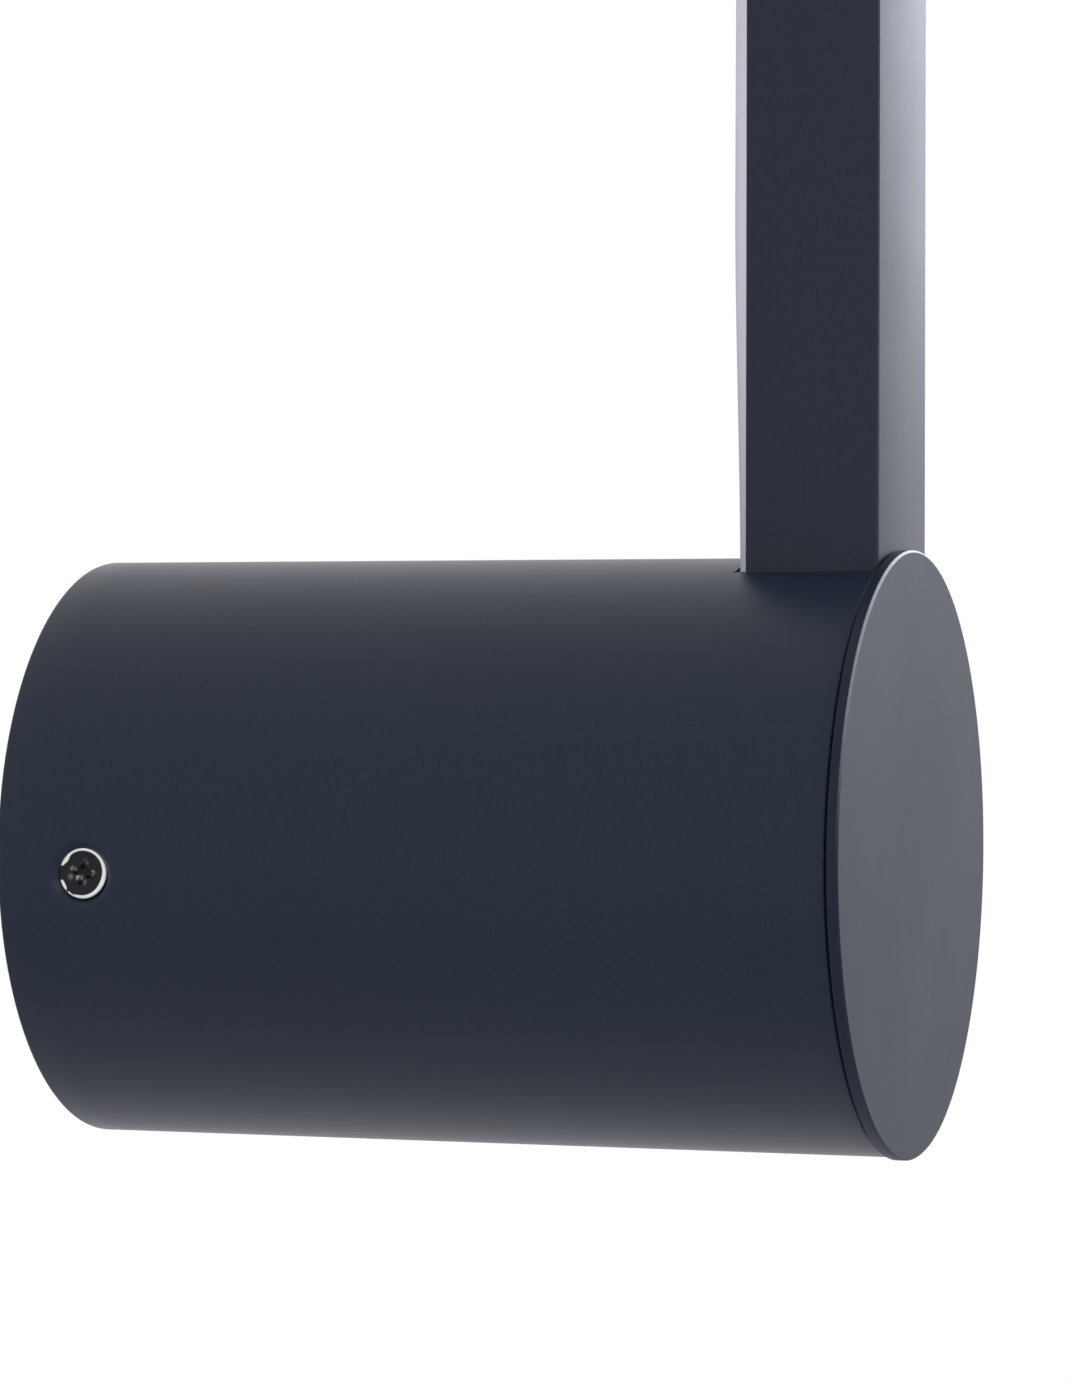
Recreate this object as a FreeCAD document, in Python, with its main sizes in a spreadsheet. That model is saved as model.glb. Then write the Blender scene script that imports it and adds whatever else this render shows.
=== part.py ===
import FreeCAD, Part
import math
import os
import re
import Sketcher

# Wall light: a cylinder stands off the wall and carries an upright light bar at its front end.
# Millimetres. X runs across, Z up, and the wall is the plane Y = 0 with the lamp on its -Y side.
# "Depth" is the distance from the wall, so a point at depth d has Y = -d.
# The bar's section has its own depth, "bar depth", counted back from its front face.

SIZES = {
    # cylinder and front cap
    "lamp_depth": 90.0,          # wall to the front of the cap
    "tube_radius": 31.0,
    "tube_wall": 2.5,
    "ring_wall": 4.0,            # the thicker front end, which makes a shoulder inside
    "wall_gap": 0.3,             # tube end to wall
    "edge_break": 0.3,
    "cap_thickness": 1.2,
    "cap_overhang": 0.5,         # the cap's edge stands out round the tube
    "cap_groove": 0.25,          # shadow groove between tube and cap
    "groove_depth": 0.5,
    "cap_chamfer": 0.18,
    "spigot_fit": 0.2,
    "spigot_wall": 2.0,
    "spigot_length": 3.5,
    "post_radius": 3.2,
    "post_offset": 8.0,          # from the bar's side to a post's centre
    "post_height": -2.0,
    "post_fit": 0.05,
    "relief_radius": 0.2,        # round reliefs in the notch's corners
    # side screws that hold the tube to the wall plate
    "side_screw_depth": 9.6,
    "side_screw_drop": 3.2,      # degrees below level
    "side_screw_length": 7.0,
    "side_sink_radius": 3.5,     # mouth of the countersink
    "hole_fit": 0.2,             # clearance of a screw's shank in a plain hole
    "thread_fit": 0.02,
    # light bar
    "bar_width": 20.0,
    "bar_depth": 14.0,
    "bar_fit": 0.1,
    "bar_foot": 5.0,             # height of the bar's lower end
    "bar_top": 400.0,
    "bar_edge": 0.25,
    "profile_wall": 1.0,
    "profile_floor": 1.6,
    "ledge_reach": 1.2,
    "ledge_thickness": 0.8,
    "ledge_inset": 3.0,          # from the bar's back to the ledge
    "port_radius": 1.9,
    "port_bite": 0.1,            # how far a port's wall runs into the bar's wall
    # diffuser
    "diffuser_proud": 1.0,       # thickness of the cover that lies on the bar's edges
    "diffuser_wall": 1.5,
    "diffuser_fit": 0.1,
    "diffuser_gap": 0.1,
    "diffuser_round": 0.5,
    "cover_inset": 0.05,         # the cover's side to the bar's side
    "diffuser_start": 22.0,      # height of its lower end, hidden in the tube
    # light board
    "tape_thickness": 0.15,
    "board_thickness": 1.0,
    "board_gap": 0.4,
    "board_start": 12.0,         # above the diffuser's lower end
    "board_end_gap": 7.0,
    "chip_width": 3.5,
    "chip_length": 2.8,
    "chip_thickness": 0.7,
    "chip_pitch": 10.0,
    "chip_start": 12.0,
    # bar end cap
    "end_thickness": 1.5,
    "end_spigot": 4.0,
    "end_fit": 0.15,
    "end_screw_length": 6.0,
    # foot block and its screws
    "block_height": 16.0,
    "block_fit": 0.1,
    "block_slot": 4.6,
    "block_slot_depth": 6.0,
    "front_screw_low": 5.0,      # above the bar's foot
    "front_screw_pitch": 7.0,
    "front_screw_length": 6.0,
    "tip_gap": 0.5,              # blind hole beyond a screw's tip
    "rear_screw_offset": 5.0,
    "rear_screw_height": 8.0,    # above the bar's foot
    "rear_screw_length": 9.0,
    "cap_screw_length": 8.0,
    # carrier plate
    "plate_thickness": 2.5,
    "plate_fit": 0.15,
    "lead_hole_radius": 3.2,
    "lead_hole_height": 0.0,
    # wall plate
    "base_thickness": 3.0,
    "base_fit": 0.2,
    "rim_wall": 3.0,
    "rim_margin": 4.7,
    "slot_spacing": 34.0,
    "slot_length": 9.0,
    "slot_radius": 2.25,
    "cable_hole_radius": 5.0,
    "cable_hole_height": 13.0,
    "cable_bore": 3.5,
    "grommet_flange": 1.2,
    "grommet_reach": 2.0,
    "grommet_fit": 0.05,
    "lead_grommet_bore": 2.4,
    "lead_grommet_flange": 0.8,
    "lead_grommet_reach": 1.2,
    # terminal block
    "pole_pitch": 8.5,
    "terminal_margin": 4.0,
    "terminal_depth": 11.0,
    "terminal_height": 13.0,
    "terminal_rim_gap": 1.0,     # its lower corners to the wall plate's rim
    "terminal_fit": 0.05,
    "barrel_radius": 1.9,
    "barrel_bore": 1.25,
    "barrel_inset": 0.5,
    "barrel_depth": 4.5,
    "clamp_radius": 1.3,
    "clamp_length": 5.0,
    "clamp_inset": 3.2,
    "clamp_slot": 0.5,
    "fixing_floor": 2.0,
    "fixing_screw_length": 4.5,
    # driver and its tray
    "tray_thickness": 1.2,
    "tray_margin": 1.0,
    "tray_height": -8.0,         # top of the tray
    "tray_tail": 5.5,
    "tray_clear": 1.5,           # terminal block to the tray
    "flange_gap": 2.6,           # the flange's lower corners to the tube
    "flange_width": 28.0,
    "tray_screw_offset": 10.0,
    "tray_screw_length": 3.5,
    "driver_width": 34.0,
    "driver_front": 5.5,         # carrier plate to driver
    "driver_base": 16.0,
    "driver_cover": 5.0,
    "driver_wall": 1.5,
    "driver_fit": 0.15,
    "driver_ledge": 2.0,
    "driver_floor_gap": 2.0,
    "driver_board": 1.6,
    "ear_length": 4.2,
    "ear_width": 10.0,
    "ear_thickness": 2.0,
    "driver_screw_length": 3.0,
    "transformer_width": 16.0,
    "transformer_length": 14.0,
    "transformer_height": 11.0,
    "transformer_gap": 3.0,
    "capacitor_radius": 4.0,
    "capacitor_height": 10.0,
    "capacitor_gap": 0.5,
    # leads
    "mains_radius": 0.95,
    "led_radius": 0.6,
    "led_spread": 1.0,
    "lead_fit": 0.2,
    "mains_height": 5.0,
    "mains_tail": 3.0,           # length of a mains lead inside the driver
    "clamped_length": 4.5,       # length of a lead inside the terminal block
    "led_tail": 4.0,             # length of an LED lead inside the driver, and on its board
    "led_rise": 8.0,             # from where an LED lead leaves the bar's back to the board
    # earth
    "earth_screw_across": 12.0,
    "earth_rim_gap": 1.2,        # the tag to the wall plate's rim
    "earth_screw_length": 3.5,
    "tag_radius": 3.3,
    "tag_thickness": 0.8,
    "sleeve_wall": 0.4,
    "sleeve_length": 4.5,
    "sleeve_lift": 0.1,          # clear of the wall plate's face
    "earth_drop": 12.0,          # from the earth screw to the lead's first bend
    "earth_bend_height": -2.0,
    # screws, by thread: thread radius, head radius, head height, and the cross in the head
    "large_thread": 1.5,
    "large_head": 2.8,
    "large_head_height": 2.0,
    "large_flat_head": 2.65,
    "medium_thread": 1.25,
    "medium_flat_head": 2.3,
    "small_thread": 1.0,
    "small_head": 1.8,
    "small_head_height": 1.3,
    "flat_head_land": 0.15,
    "head_shoulder": 0.7,
    "cross_width": 0.7,
    "cross_depth": 1.1,
}

# Places and sizes that follow from the ones above.
DERIVED = {
    "tube_bore": "tube_radius - tube_wall",
    "ring_bore": "tube_radius - ring_wall",
    "cap_radius": "tube_radius + cap_overhang",
    "cap_back": "lamp_depth - cap_thickness",
    "tube_front": "cap_back - cap_groove",
    "seat_radius": "tube_radius - groove_depth",
    "notch_depth": "bar_depth + diffuser_proud + diffuser_gap",
    "plate_front": "tube_front - notch_depth",
    "plate_back": "plate_front - plate_thickness",
    "notch_half": "bar_width / 2 + bar_fit",
    "post_across": "bar_width / 2 + post_offset",
    "large_hole": "large_thread + hole_fit",
    "channel_half": "bar_width / 2 - profile_wall",
    "ledge_half": "channel_half - ledge_reach",
    "ledge_back": "bar_depth - ledge_inset",
    "ledge_front": "ledge_back - ledge_thickness",
    "port_across": "channel_half + port_bite - port_radius",
    "port_bar_depth": "profile_floor - port_bite + port_radius",
    "port_inner": "port_across - port_radius",
    "port_back": "port_bar_depth + port_radius",
    "board_half": "port_inner - board_gap",
    "board_front": "profile_floor + tape_thickness",
    "board_back": "board_front + board_thickness",
    "board_low": "diffuser_start + board_start",
    "board_high": "bar_top - board_end_gap",
    "diffuser_half": "channel_half - diffuser_fit",
    "diffuser_lip": "ledge_back + diffuser_fit",
    "diffuser_back": "bar_depth + diffuser_proud",
    "cover_half": "bar_width / 2 - cover_inset",
    "block_back": "notch_depth",
    "rim_depth": "side_screw_depth + rim_margin",
    "base_radius": "tube_bore - base_fit",
    "rim_bore": "base_radius - rim_wall",
    "cable_flange": "cable_hole_radius + grommet_reach",
    "terminal_half": "pole_pitch + terminal_margin",
    "terminal_low": "terminal_rim_gap - sqrt(rim_bore ^ 2 - terminal_half ^ 2)",
    "terminal_top": "terminal_low + terminal_height",
    "terminal_front": "base_thickness + terminal_depth",
    "barrel_place": "base_thickness + barrel_depth",
    "tray_half": "driver_width / 2 + tray_margin",
    "tray_back": "driver_near - tray_tail",
    "driver_far": "plate_back - driver_front",
    "driver_near": "terminal_front + tray_clear + tray_tail",
    "driver_half": "driver_width / 2",
    "driver_seam": "tray_height + driver_base",
    "driver_top": "driver_seam + driver_cover",
    "pcb_low": "tray_height + driver_wall + driver_floor_gap",
    "pcb_high": "pcb_low + driver_board",
    "tray_low": "tray_height - tray_thickness",
    "flange_low": "flange_gap - sqrt(tube_bore ^ 2 - (flange_width / 2) ^ 2)",
    "tray_screw_height": "(tray_low + flange_low) / 2",
    "earth_screw_height":
        "sqrt((rim_bore - tag_radius - earth_rim_gap) ^ 2 - earth_screw_across ^ 2)",
    "large_bore": "large_thread + thread_fit",
    "medium_bore": "medium_thread + thread_fit",
    "small_bore": "small_thread + thread_fit",
    "small_hole": "small_thread + hole_fit",
    "led_bar_depth": "block_back - block_slot_depth * 2 / 3",
    "terminal_middle": "terminal_top - terminal_height / 2",
    "sleeve_radius": "mains_radius + grommet_fit + sleeve_wall",
    "sleeve_place": "base_thickness + sleeve_lift + sleeve_radius",
    "led_hole": "led_radius + lead_fit",
    "mains_hole": "mains_radius + lead_fit",
}

WORD = re.compile(r"[a-z][a-z_]*")

# How far to turn an upright piece about which axis so that it points each way.
WAYS = {
    "up": (FreeCAD.Vector(1, 0, 0), 0.0),
    "down": (FreeCAD.Vector(1, 0, 0), 180.0),
    "front": (FreeCAD.Vector(1, 0, 0), 90.0),
    "wall": (FreeCAD.Vector(1, 0, 0), -90.0),
}

subparts = {}


def formula(text):
    """Spell a formula out in the sheet's own cells."""
    def spell(match):
        word = match.group(0)
        if word in DERIVED:
            return "(" + formula(DERIVED[word]) + ")"
        return "sizes." + word if word in SIZES else word
    return WORD.sub(spell, text)


def bind(thing, where, text):
    """Tie one property of an object to the sizes."""
    thing.setExpression(where, formula(str(text)))


def number(doc, text):
    """The present value of a formula."""
    return float(doc.getObject("origin_mark").evalExpression(formula(str(text))))


def keep(node, piece):
    """Name a finished piece and list it for export."""
    piece.Label = node
    subparts[node] = piece
    return piece


# Bodies drawn as sketches

def new_body(doc, node):
    body = doc.addObject("PartDesign::Body", node)
    return keep(node, body)


def sketch_on(body, role, lift="0", turn="0", shift="0", rise="0"):
    """A sketch on one of the body's own planes, lifted along the plane's normal.

    XZ_Plane looks out of the wall, so its lift is a depth. turn rotates the sketch in its plane,
    and shift and rise move it along the plane's own two directions.
    """
    plane = next(item for item in body.Origin.OriginFeatures if item.Role == role)
    sketch = body.newObject("Sketcher::SketchObject", body.Name + "_sketch")
    sketch.AttachmentSupport = [(plane, "")]
    sketch.MapMode = "FlatFace"
    if turn != "0":
        angle = number(body.Document, turn)
        sketch.AttachmentOffset = FreeCAD.Placement(
            FreeCAD.Vector(), FreeCAD.Rotation(FreeCAD.Vector(0, 0, 1), angle))
        bind(sketch, "AttachmentOffset.Rotation.Angle", turn)
    bind(sketch, "AttachmentOffset.Base.x", shift)
    bind(sketch, "AttachmentOffset.Base.y", rise)
    bind(sketch, "AttachmentOffset.Base.z", lift)
    return sketch


def pin_point(sketch, edge, end, across, up):
    """Fix a point of the sketch at two distances from its origin."""
    doc = sketch.Document
    for kind, text in (("DistanceX", across), ("DistanceY", up)):
        at = sketch.addConstraint(Sketcher.Constraint(kind, -1, 1, edge, end, number(doc, text)))
        bind(sketch, f"Constraints[{at}]", text)


def polygon(sketch, corners):
    """A closed outline through corners given as pairs of formulas."""
    doc = sketch.Document
    points = [FreeCAD.Vector(number(doc, a), number(doc, b), 0) for a, b in corners]
    first = sketch.GeometryCount
    count = len(points)
    for i in range(count):
        sketch.addGeometry(Part.LineSegment(points[i], points[(i + 1) % count]), False)
    for i in range(count):
        sketch.addConstraint(
            Sketcher.Constraint("Coincident", first + i, 2, first + (i + 1) % count, 1))
    for i, (across, up) in enumerate(corners):
        pin_point(sketch, first + i, 1, across, up)


def rectangle(sketch, low, high):
    """An upright rectangle between two corners."""
    polygon(sketch, [(low[0], low[1]), (high[0], low[1]), (high[0], high[1]), (low[0], high[1])])


def circle(sketch, across, up, radius):
    doc = sketch.Document
    centre = FreeCAD.Vector(number(doc, across), number(doc, up), 0)
    shape = Part.Circle(centre, FreeCAD.Vector(0, 0, 1), number(doc, radius))
    edge = sketch.addGeometry(shape, False)
    at = sketch.addConstraint(Sketcher.Constraint("Radius", edge, number(doc, radius)))
    bind(sketch, f"Constraints[{at}]", radius)
    pin_point(sketch, edge, 3, across, up)


def slot(sketch, across, up, length, radius):
    """A level slot: two half rounds joined by straight sides."""
    doc = sketch.Document
    half = f"({length}) / 2 - ({radius})"
    r = number(doc, radius)
    x, z, reach = number(doc, across), number(doc, up), number(doc, half)
    up_axis = FreeCAD.Vector(0, 0, 1)
    right = Part.Circle(FreeCAD.Vector(x + reach, z, 0), up_axis, r)
    left = Part.Circle(FreeCAD.Vector(x - reach, z, 0), up_axis, r)
    first = sketch.GeometryCount
    corners = [(x - reach, z - r), (x + reach, z - r), (x + reach, z + r), (x - reach, z + r)]
    a, b, c, d = [FreeCAD.Vector(u, v, 0) for u, v in corners]
    sketch.addGeometry(Part.LineSegment(a, b), False)
    sketch.addGeometry(Part.ArcOfCircle(right, -math.pi / 2, math.pi / 2), False)
    sketch.addGeometry(Part.LineSegment(c, d), False)
    sketch.addGeometry(Part.ArcOfCircle(left, math.pi / 2, math.pi * 3 / 2), False)
    for i in range(4):
        sketch.addConstraint(
            Sketcher.Constraint("Coincident", first + i, 2, first + (i + 1) % 4, 1))
    low, high = f"({up}) - ({radius})", f"({up}) + ({radius})"
    near, far = f"({across}) - ({half})", f"({across}) + ({half})"
    pin_point(sketch, first, 1, near, low)
    pin_point(sketch, first, 2, far, low)
    pin_point(sketch, first + 2, 1, far, high)
    pin_point(sketch, first + 2, 2, near, high)
    for edge, centre in ((first + 1, far), (first + 3, near)):
        at = sketch.addConstraint(
            Sketcher.Constraint("DistanceX", -1, 1, edge, 3, number(doc, centre)))
        bind(sketch, f"Constraints[{at}]", centre)


def pad(body, sketch, length, backwards=False):
    feature = body.newObject("PartDesign::Pad", body.Name + "_pad")
    feature.Profile = sketch
    feature.Reversed = backwards
    bind(feature, "Length", length)
    body.Document.recompute()
    return feature


def pocket(body, sketch, length, along_normal=False):
    """Cut a sketch into the body, and make sure that it removed something."""
    before = body.Shape.Volume
    feature = body.newObject("PartDesign::Pocket", body.Name + "_pocket")
    feature.Profile = sketch
    feature.Reversed = along_normal
    bind(feature, "Length", length)
    body.Document.recompute()
    if not body.Shape.Volume < before:
        raise RuntimeError(f"a pocket in {body.Label} cuts nothing")
    return feature


def turned(body, sketch, axis="H_Axis"):
    """Turn a sketch about one of its own axes into a solid."""
    feature = body.newObject("PartDesign::Revolution", body.Name + "_turned")
    feature.Profile = sketch
    feature.ReferenceAxis = (sketch, [axis])
    feature.Angle = 360
    body.Document.recompute()
    return feature


def bored(body, sketch, axis="H_Axis"):
    """Turn a sketch about one of its own axes into a cut, and make sure that it removed something."""
    before = body.Shape.Volume
    feature = body.newObject("PartDesign::Groove", body.Name + "_bored")
    feature.Profile = sketch
    feature.ReferenceAxis = (sketch, [axis])
    feature.Angle = 360
    body.Document.recompute()
    if not body.Shape.Volume < before:
        raise RuntimeError(f"a bored hole in {body.Label} cuts nothing")
    return feature


def mirrored(body, feature):
    """Repeat a feature on the other side of the plane X = 0."""
    plane = next(item for item in body.Origin.OriginFeatures if item.Role == "YZ_Plane")
    mirror = body.newObject("PartDesign::Mirrored", body.Name + "_mirrored")
    mirror.Originals = [feature]
    mirror.MirrorPlane = (plane, [""])
    body.Tip = mirror
    body.Document.recompute()
    return mirror


# Pieces put together from plain solids

def box(doc, name, across, depth, height):
    """A block between two values each of X, of depth from the wall and of height."""
    shape = doc.addObject("Part::Box", name)
    bind(shape, "Length", f"({across[1]}) - ({across[0]})")
    bind(shape, "Width", f"({depth[1]}) - ({depth[0]})")
    bind(shape, "Height", f"({height[1]}) - ({height[0]})")
    bind(shape, "Placement.Base.x", across[0])
    bind(shape, "Placement.Base.y", f"-({depth[1]})")
    bind(shape, "Placement.Base.z", height[0])
    return shape


def rod(doc, name, radius, length, spot, way="front"):
    """A cylinder that starts at spot (X, depth, height) and points one way."""
    shape = doc.addObject("Part::Cylinder", name)
    bind(shape, "Radius", radius)
    bind(shape, "Height", length)
    return put(shape, spot, way)


def put(shape, spot, way):
    """Turn an upright shape to point one way and move its origin to spot."""
    axis, angle = WAYS[way]
    shape.Placement = FreeCAD.Placement(FreeCAD.Vector(), FreeCAD.Rotation(axis, angle))
    bind(shape, "Placement.Base.x", spot[0])
    bind(shape, "Placement.Base.y", f"-({spot[1]})")
    bind(shape, "Placement.Base.z", spot[2])
    return shape


def fuse(doc, name, pieces):
    shape = doc.addObject("Part::MultiFuse", name)
    shape.Shapes = pieces
    return shape


def cut(doc, name, base, tools):
    shape = doc.addObject("Part::Cut", name)
    shape.Base = base
    shape.Tool = tools[0] if len(tools) == 1 else fuse(doc, name + "_tools", tools)
    return shape


def group(doc, node, pieces):
    """Alike pieces that share one node."""
    shape = doc.addObject("Part::Compound", node)
    shape.Links = pieces
    return keep(node, shape)


def screw(doc, name, thread, length, head, spot, way, height=None):
    """A cross-recess screw whose head faces one way.

    With a height it is a pan head that seats at spot; without one it is a flat head whose face lies
    at spot. The cross is cut from the head's top.
    """
    shank = doc.addObject("Part::Cylinder", name + "_shank")
    bind(shank, "Radius", thread)
    crown = doc.addObject("Part::Cone", name + "_crown")
    bind(shank, "Height", length)
    bind(shank, "Placement.Base.z", f"-({length})")
    side = doc.addObject("Part::Cylinder", name + "_side")
    bind(side, "Radius", head)
    if height is None:
        top = "0"
        bind(crown, "Radius1", thread)
        bind(crown, "Radius2", head)
        bind(crown, "Height", f"({head}) - ({thread})")
        bind(crown, "Placement.Base.z", f"-flat_head_land - ({head}) + ({thread})")
        bind(side, "Height", "flat_head_land")
        bind(side, "Placement.Base.z", "-flat_head_land")
    else:
        top = height
        bind(side, "Height", f"({height}) - head_shoulder")
        bind(crown, "Radius1", head)
        bind(crown, "Radius2", f"({head}) - head_shoulder")
        bind(crown, "Height", "head_shoulder")
        bind(crown, "Placement.Base.z", f"({height}) - head_shoulder")
    solid = fuse(doc, name + "_solid", [shank, side, crown])
    arms = []
    span = f"({head}) * 1.1"
    for long_side, short_side in (("Length", "Width"), ("Width", "Length")):
        arm = doc.addObject("Part::Box", name + "_arm")
        bind(arm, long_side, span)
        bind(arm, short_side, "cross_width")
        bind(arm, "Height", "cross_depth")
        first, second = (span, "cross_width") if long_side == "Length" else ("cross_width", span)
        bind(arm, "Placement.Base.x", f"-({first}) / 2")
        bind(arm, "Placement.Base.y", f"-({second}) / 2")
        bind(arm, "Placement.Base.z", f"({top}) - cross_depth")
        arms.append(arm)
    return put(cut(doc, name, solid, arms), spot, way)


# Leads: straight runs joined by tangent arcs

def lead_path(points):
    """A wire through the points, each corner rounded by an arc from its two runs."""
    edges = []
    start = points[0]
    radii = []
    for before, corner, after in zip(points, points[1:], points[2:]):
        back, ahead = before - corner, after - corner
        half = back.getAngle(ahead) / 2
        trim = 0.45 * min(back.Length, ahead.Length)
        radii.append(trim * math.tan(half))
        back.normalize()
        ahead.normalize()
        first, last = corner + back * trim, corner + ahead * trim
        inward = (back + ahead).normalize()
        reach = trim / math.cos(half) - radii[-1]
        edges.append(Part.LineSegment(start, first).toShape())
        edges.append(Part.Arc(first, corner + inward * reach, last).toShape())
        start = last
    edges.append(Part.LineSegment(start, points[-1]).toShape())
    return Part.Wire(edges), radii


def lead(doc, node, radius, spots):
    """A wire of round section along a route of spots (X, depth, height)."""
    points = [FreeCAD.Vector(number(doc, x), -number(doc, d), number(doc, z)) for x, d, z in spots]
    path, radii = lead_path(points)
    thickness = number(doc, radius)
    ring = Part.Wire(Part.makeCircle(thickness, points[0], points[1] - points[0]))
    piece = doc.addObject("Part::Feature", node)
    piece.Shape = path.makePipeShell([ring], True, True)
    share = piece.Shape.Volume / (math.pi * thickness ** 2 * path.Length)
    bends = ", ".join(f"{value:.1f}" for value in radii)
    print(f"{node}: length {path.Length:.1f}, bend radii {bends}, volume share {share:.4f}")
    return keep(node, piece)


# Cylinder and cap

def make_body_tube(doc):
    body = new_body(doc, "body_tube")
    profile = sketch_on(body, "YZ_Plane")
    polygon(profile, [
        ("-wall_gap", "tube_bore"),
        ("-wall_gap", "tube_radius - edge_break"),
        ("-wall_gap - edge_break", "tube_radius"),
        ("-tube_front + edge_break", "tube_radius"),
        ("-tube_front", "tube_radius - edge_break"),
        ("-tube_front", "ring_bore"),
        ("-plate_front", "ring_bore"),
        ("-plate_front", "tube_bore"),
    ])
    turned(body, profile)
    notch = sketch_on(body, "XZ_Plane", "tube_front")
    rectangle(notch, ("-notch_half", "0"), ("notch_half", "tube_radius + edge_break"))
    pocket(body, notch, "notch_depth")
    reliefs = sketch_on(body, "XY_Plane", "tube_radius + edge_break")
    for side in (-1, 1):
        circle(reliefs, f"{side} * notch_half", "-plate_front", "relief_radius")
    pocket(body, reliefs, "tube_radius")
    sink = sketch_on(body, "XZ_Plane", "side_screw_depth", turn="-side_screw_drop")
    side_hole = "side_sink_radius - large_hole"
    polygon(sink, [
        ("ring_bore", "0"),
        ("ring_bore", "large_hole"),
        (f"tube_radius - ({side_hole})", "large_hole"),
        ("tube_radius", "side_sink_radius"),
        ("tube_radius + edge_break", "side_sink_radius + edge_break"),
        ("tube_radius + edge_break", "0"),
    ])
    mirrored(body, bored(body, sink))


def make_front_cap(doc):
    body = new_body(doc, "front_cap")
    profile = sketch_on(body, "YZ_Plane")
    polygon(profile, [
        ("-lamp_depth", "0"),
        ("-lamp_depth", "cap_radius - cap_chamfer"),
        ("-lamp_depth + cap_chamfer", "cap_radius"),
        ("-cap_back", "cap_radius"),
        ("-cap_back", "seat_radius"),
        ("-tube_front", "seat_radius"),
        ("-tube_front", "ring_bore - spigot_fit"),
        ("-cap_back + spigot_length", "ring_bore - spigot_fit"),
        ("-cap_back + spigot_length", "ring_bore - spigot_fit - spigot_wall"),
        ("-cap_back", "ring_bore - spigot_fit - spigot_wall"),
        ("-cap_back", "0"),
    ])
    turned(body, profile)
    gap = sketch_on(body, "XZ_Plane", "cap_back")
    rectangle(gap, ("-notch_half - spigot_fit", "0"), ("notch_half + spigot_fit", "tube_radius"))
    pocket(body, gap, "spigot_length")
    posts = sketch_on(body, "XZ_Plane", "cap_back")
    for side in (-1, 1):
        circle(posts, f"{side} * post_across", "post_height", "post_radius")
    pad(body, posts, "cap_back - plate_front - post_fit", backwards=True)
    threads = sketch_on(body, "XZ_Plane", "plate_front")
    for side in (-1, 1):
        circle(threads, f"{side} * post_across", "post_height", "large_thread + thread_fit")
    pocket(body, threads, "cap_screw_length", along_normal=True)
    return body


def make_side_screws(doc):
    """One screw each side, driven level but for the drop, its face below the tube's surface."""
    pieces = []
    for side in (-1, 1):
        piece = screw(doc, "side_screw", "large_thread", "side_screw_length", "large_flat_head",
                      ("0", "0", "0"), "up")
        tilt = "90 + side_screw_drop"
        reach = "(tube_radius - (side_sink_radius - large_flat_head) + flat_head_land)"
        piece.Placement = FreeCAD.Placement(FreeCAD.Vector(), FreeCAD.Rotation(
            FreeCAD.Vector(0, side, 0), number(doc, tilt)))
        bind(piece, "Placement.Rotation.Angle", tilt)
        bind(piece, "Placement.Base.x", f"{side} * {reach} * cos(side_screw_drop * 1 deg)")
        bind(piece, "Placement.Base.y", "-side_screw_depth")
        bind(piece, "Placement.Base.z", f"-{reach} * sin(side_screw_drop * 1 deg)")
        pieces.append(piece)
    group(doc, "side_screws", pieces)


# Light bar

def bar_y(bar_depth):
    """Y of a place given by its depth in the bar's section."""
    return f"({bar_depth}) - tube_front"


def bar_to_wall(bar_depth):
    """Distance from the wall of a place given by its depth in the bar's section."""
    return f"tube_front - ({bar_depth})"


def make_bar_profile(doc):
    body = new_body(doc, "bar_profile")
    section = sketch_on(body, "XY_Plane", "bar_foot")
    inner = [
        ("channel_half", "profile_floor"), ("channel_half", "ledge_front"),
        ("ledge_half", "ledge_front"), ("ledge_half", "ledge_back"),
        ("channel_half", "ledge_back"), ("channel_half", "bar_depth"),
    ]
    outer = [
        ("bar_width / 2", "bar_depth"), ("bar_width / 2", "bar_edge"),
        ("bar_width / 2 - bar_edge", "0"),
    ]
    right = [(x, bar_y(v)) for x, v in inner + outer]
    left = [(f"-({x})", y) for x, y in reversed(right)]
    polygon(section, right + left)
    pad(body, section, "bar_top - bar_foot")
    ports = sketch_on(body, "XY_Plane", "bar_foot")
    for side in (-1, 1):
        circle(ports, f"{side} * port_across", bar_y("port_bar_depth"), "port_radius")
    pad(body, ports, "bar_top - bar_foot")
    bores = sketch_on(body, "XY_Plane", "bar_foot")
    for side in (-1, 1):
        circle(bores, f"{side} * port_across", bar_y("port_bar_depth"), "small_bore")
    pocket(body, bores, "bar_top - bar_foot", along_normal=True)
    for i in range(2):
        sink = sketch_on(body, "YZ_Plane", rise=front_screw_height(i))
        mouth = "medium_flat_head + flat_head_land"
        hole = "medium_thread + hole_fit"
        polygon(sink, [
            ("-tube_front", "0"),
            ("-tube_front", mouth),
            (f"-tube_front + ({mouth}) - ({hole})", hole),
            ("-tube_front + profile_floor", hole),
            ("-tube_front + profile_floor", "0"),
        ])
        bored(body, sink)


def front_screw_height(i):
    return f"bar_foot + front_screw_low + {i} * front_screw_pitch"


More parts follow.
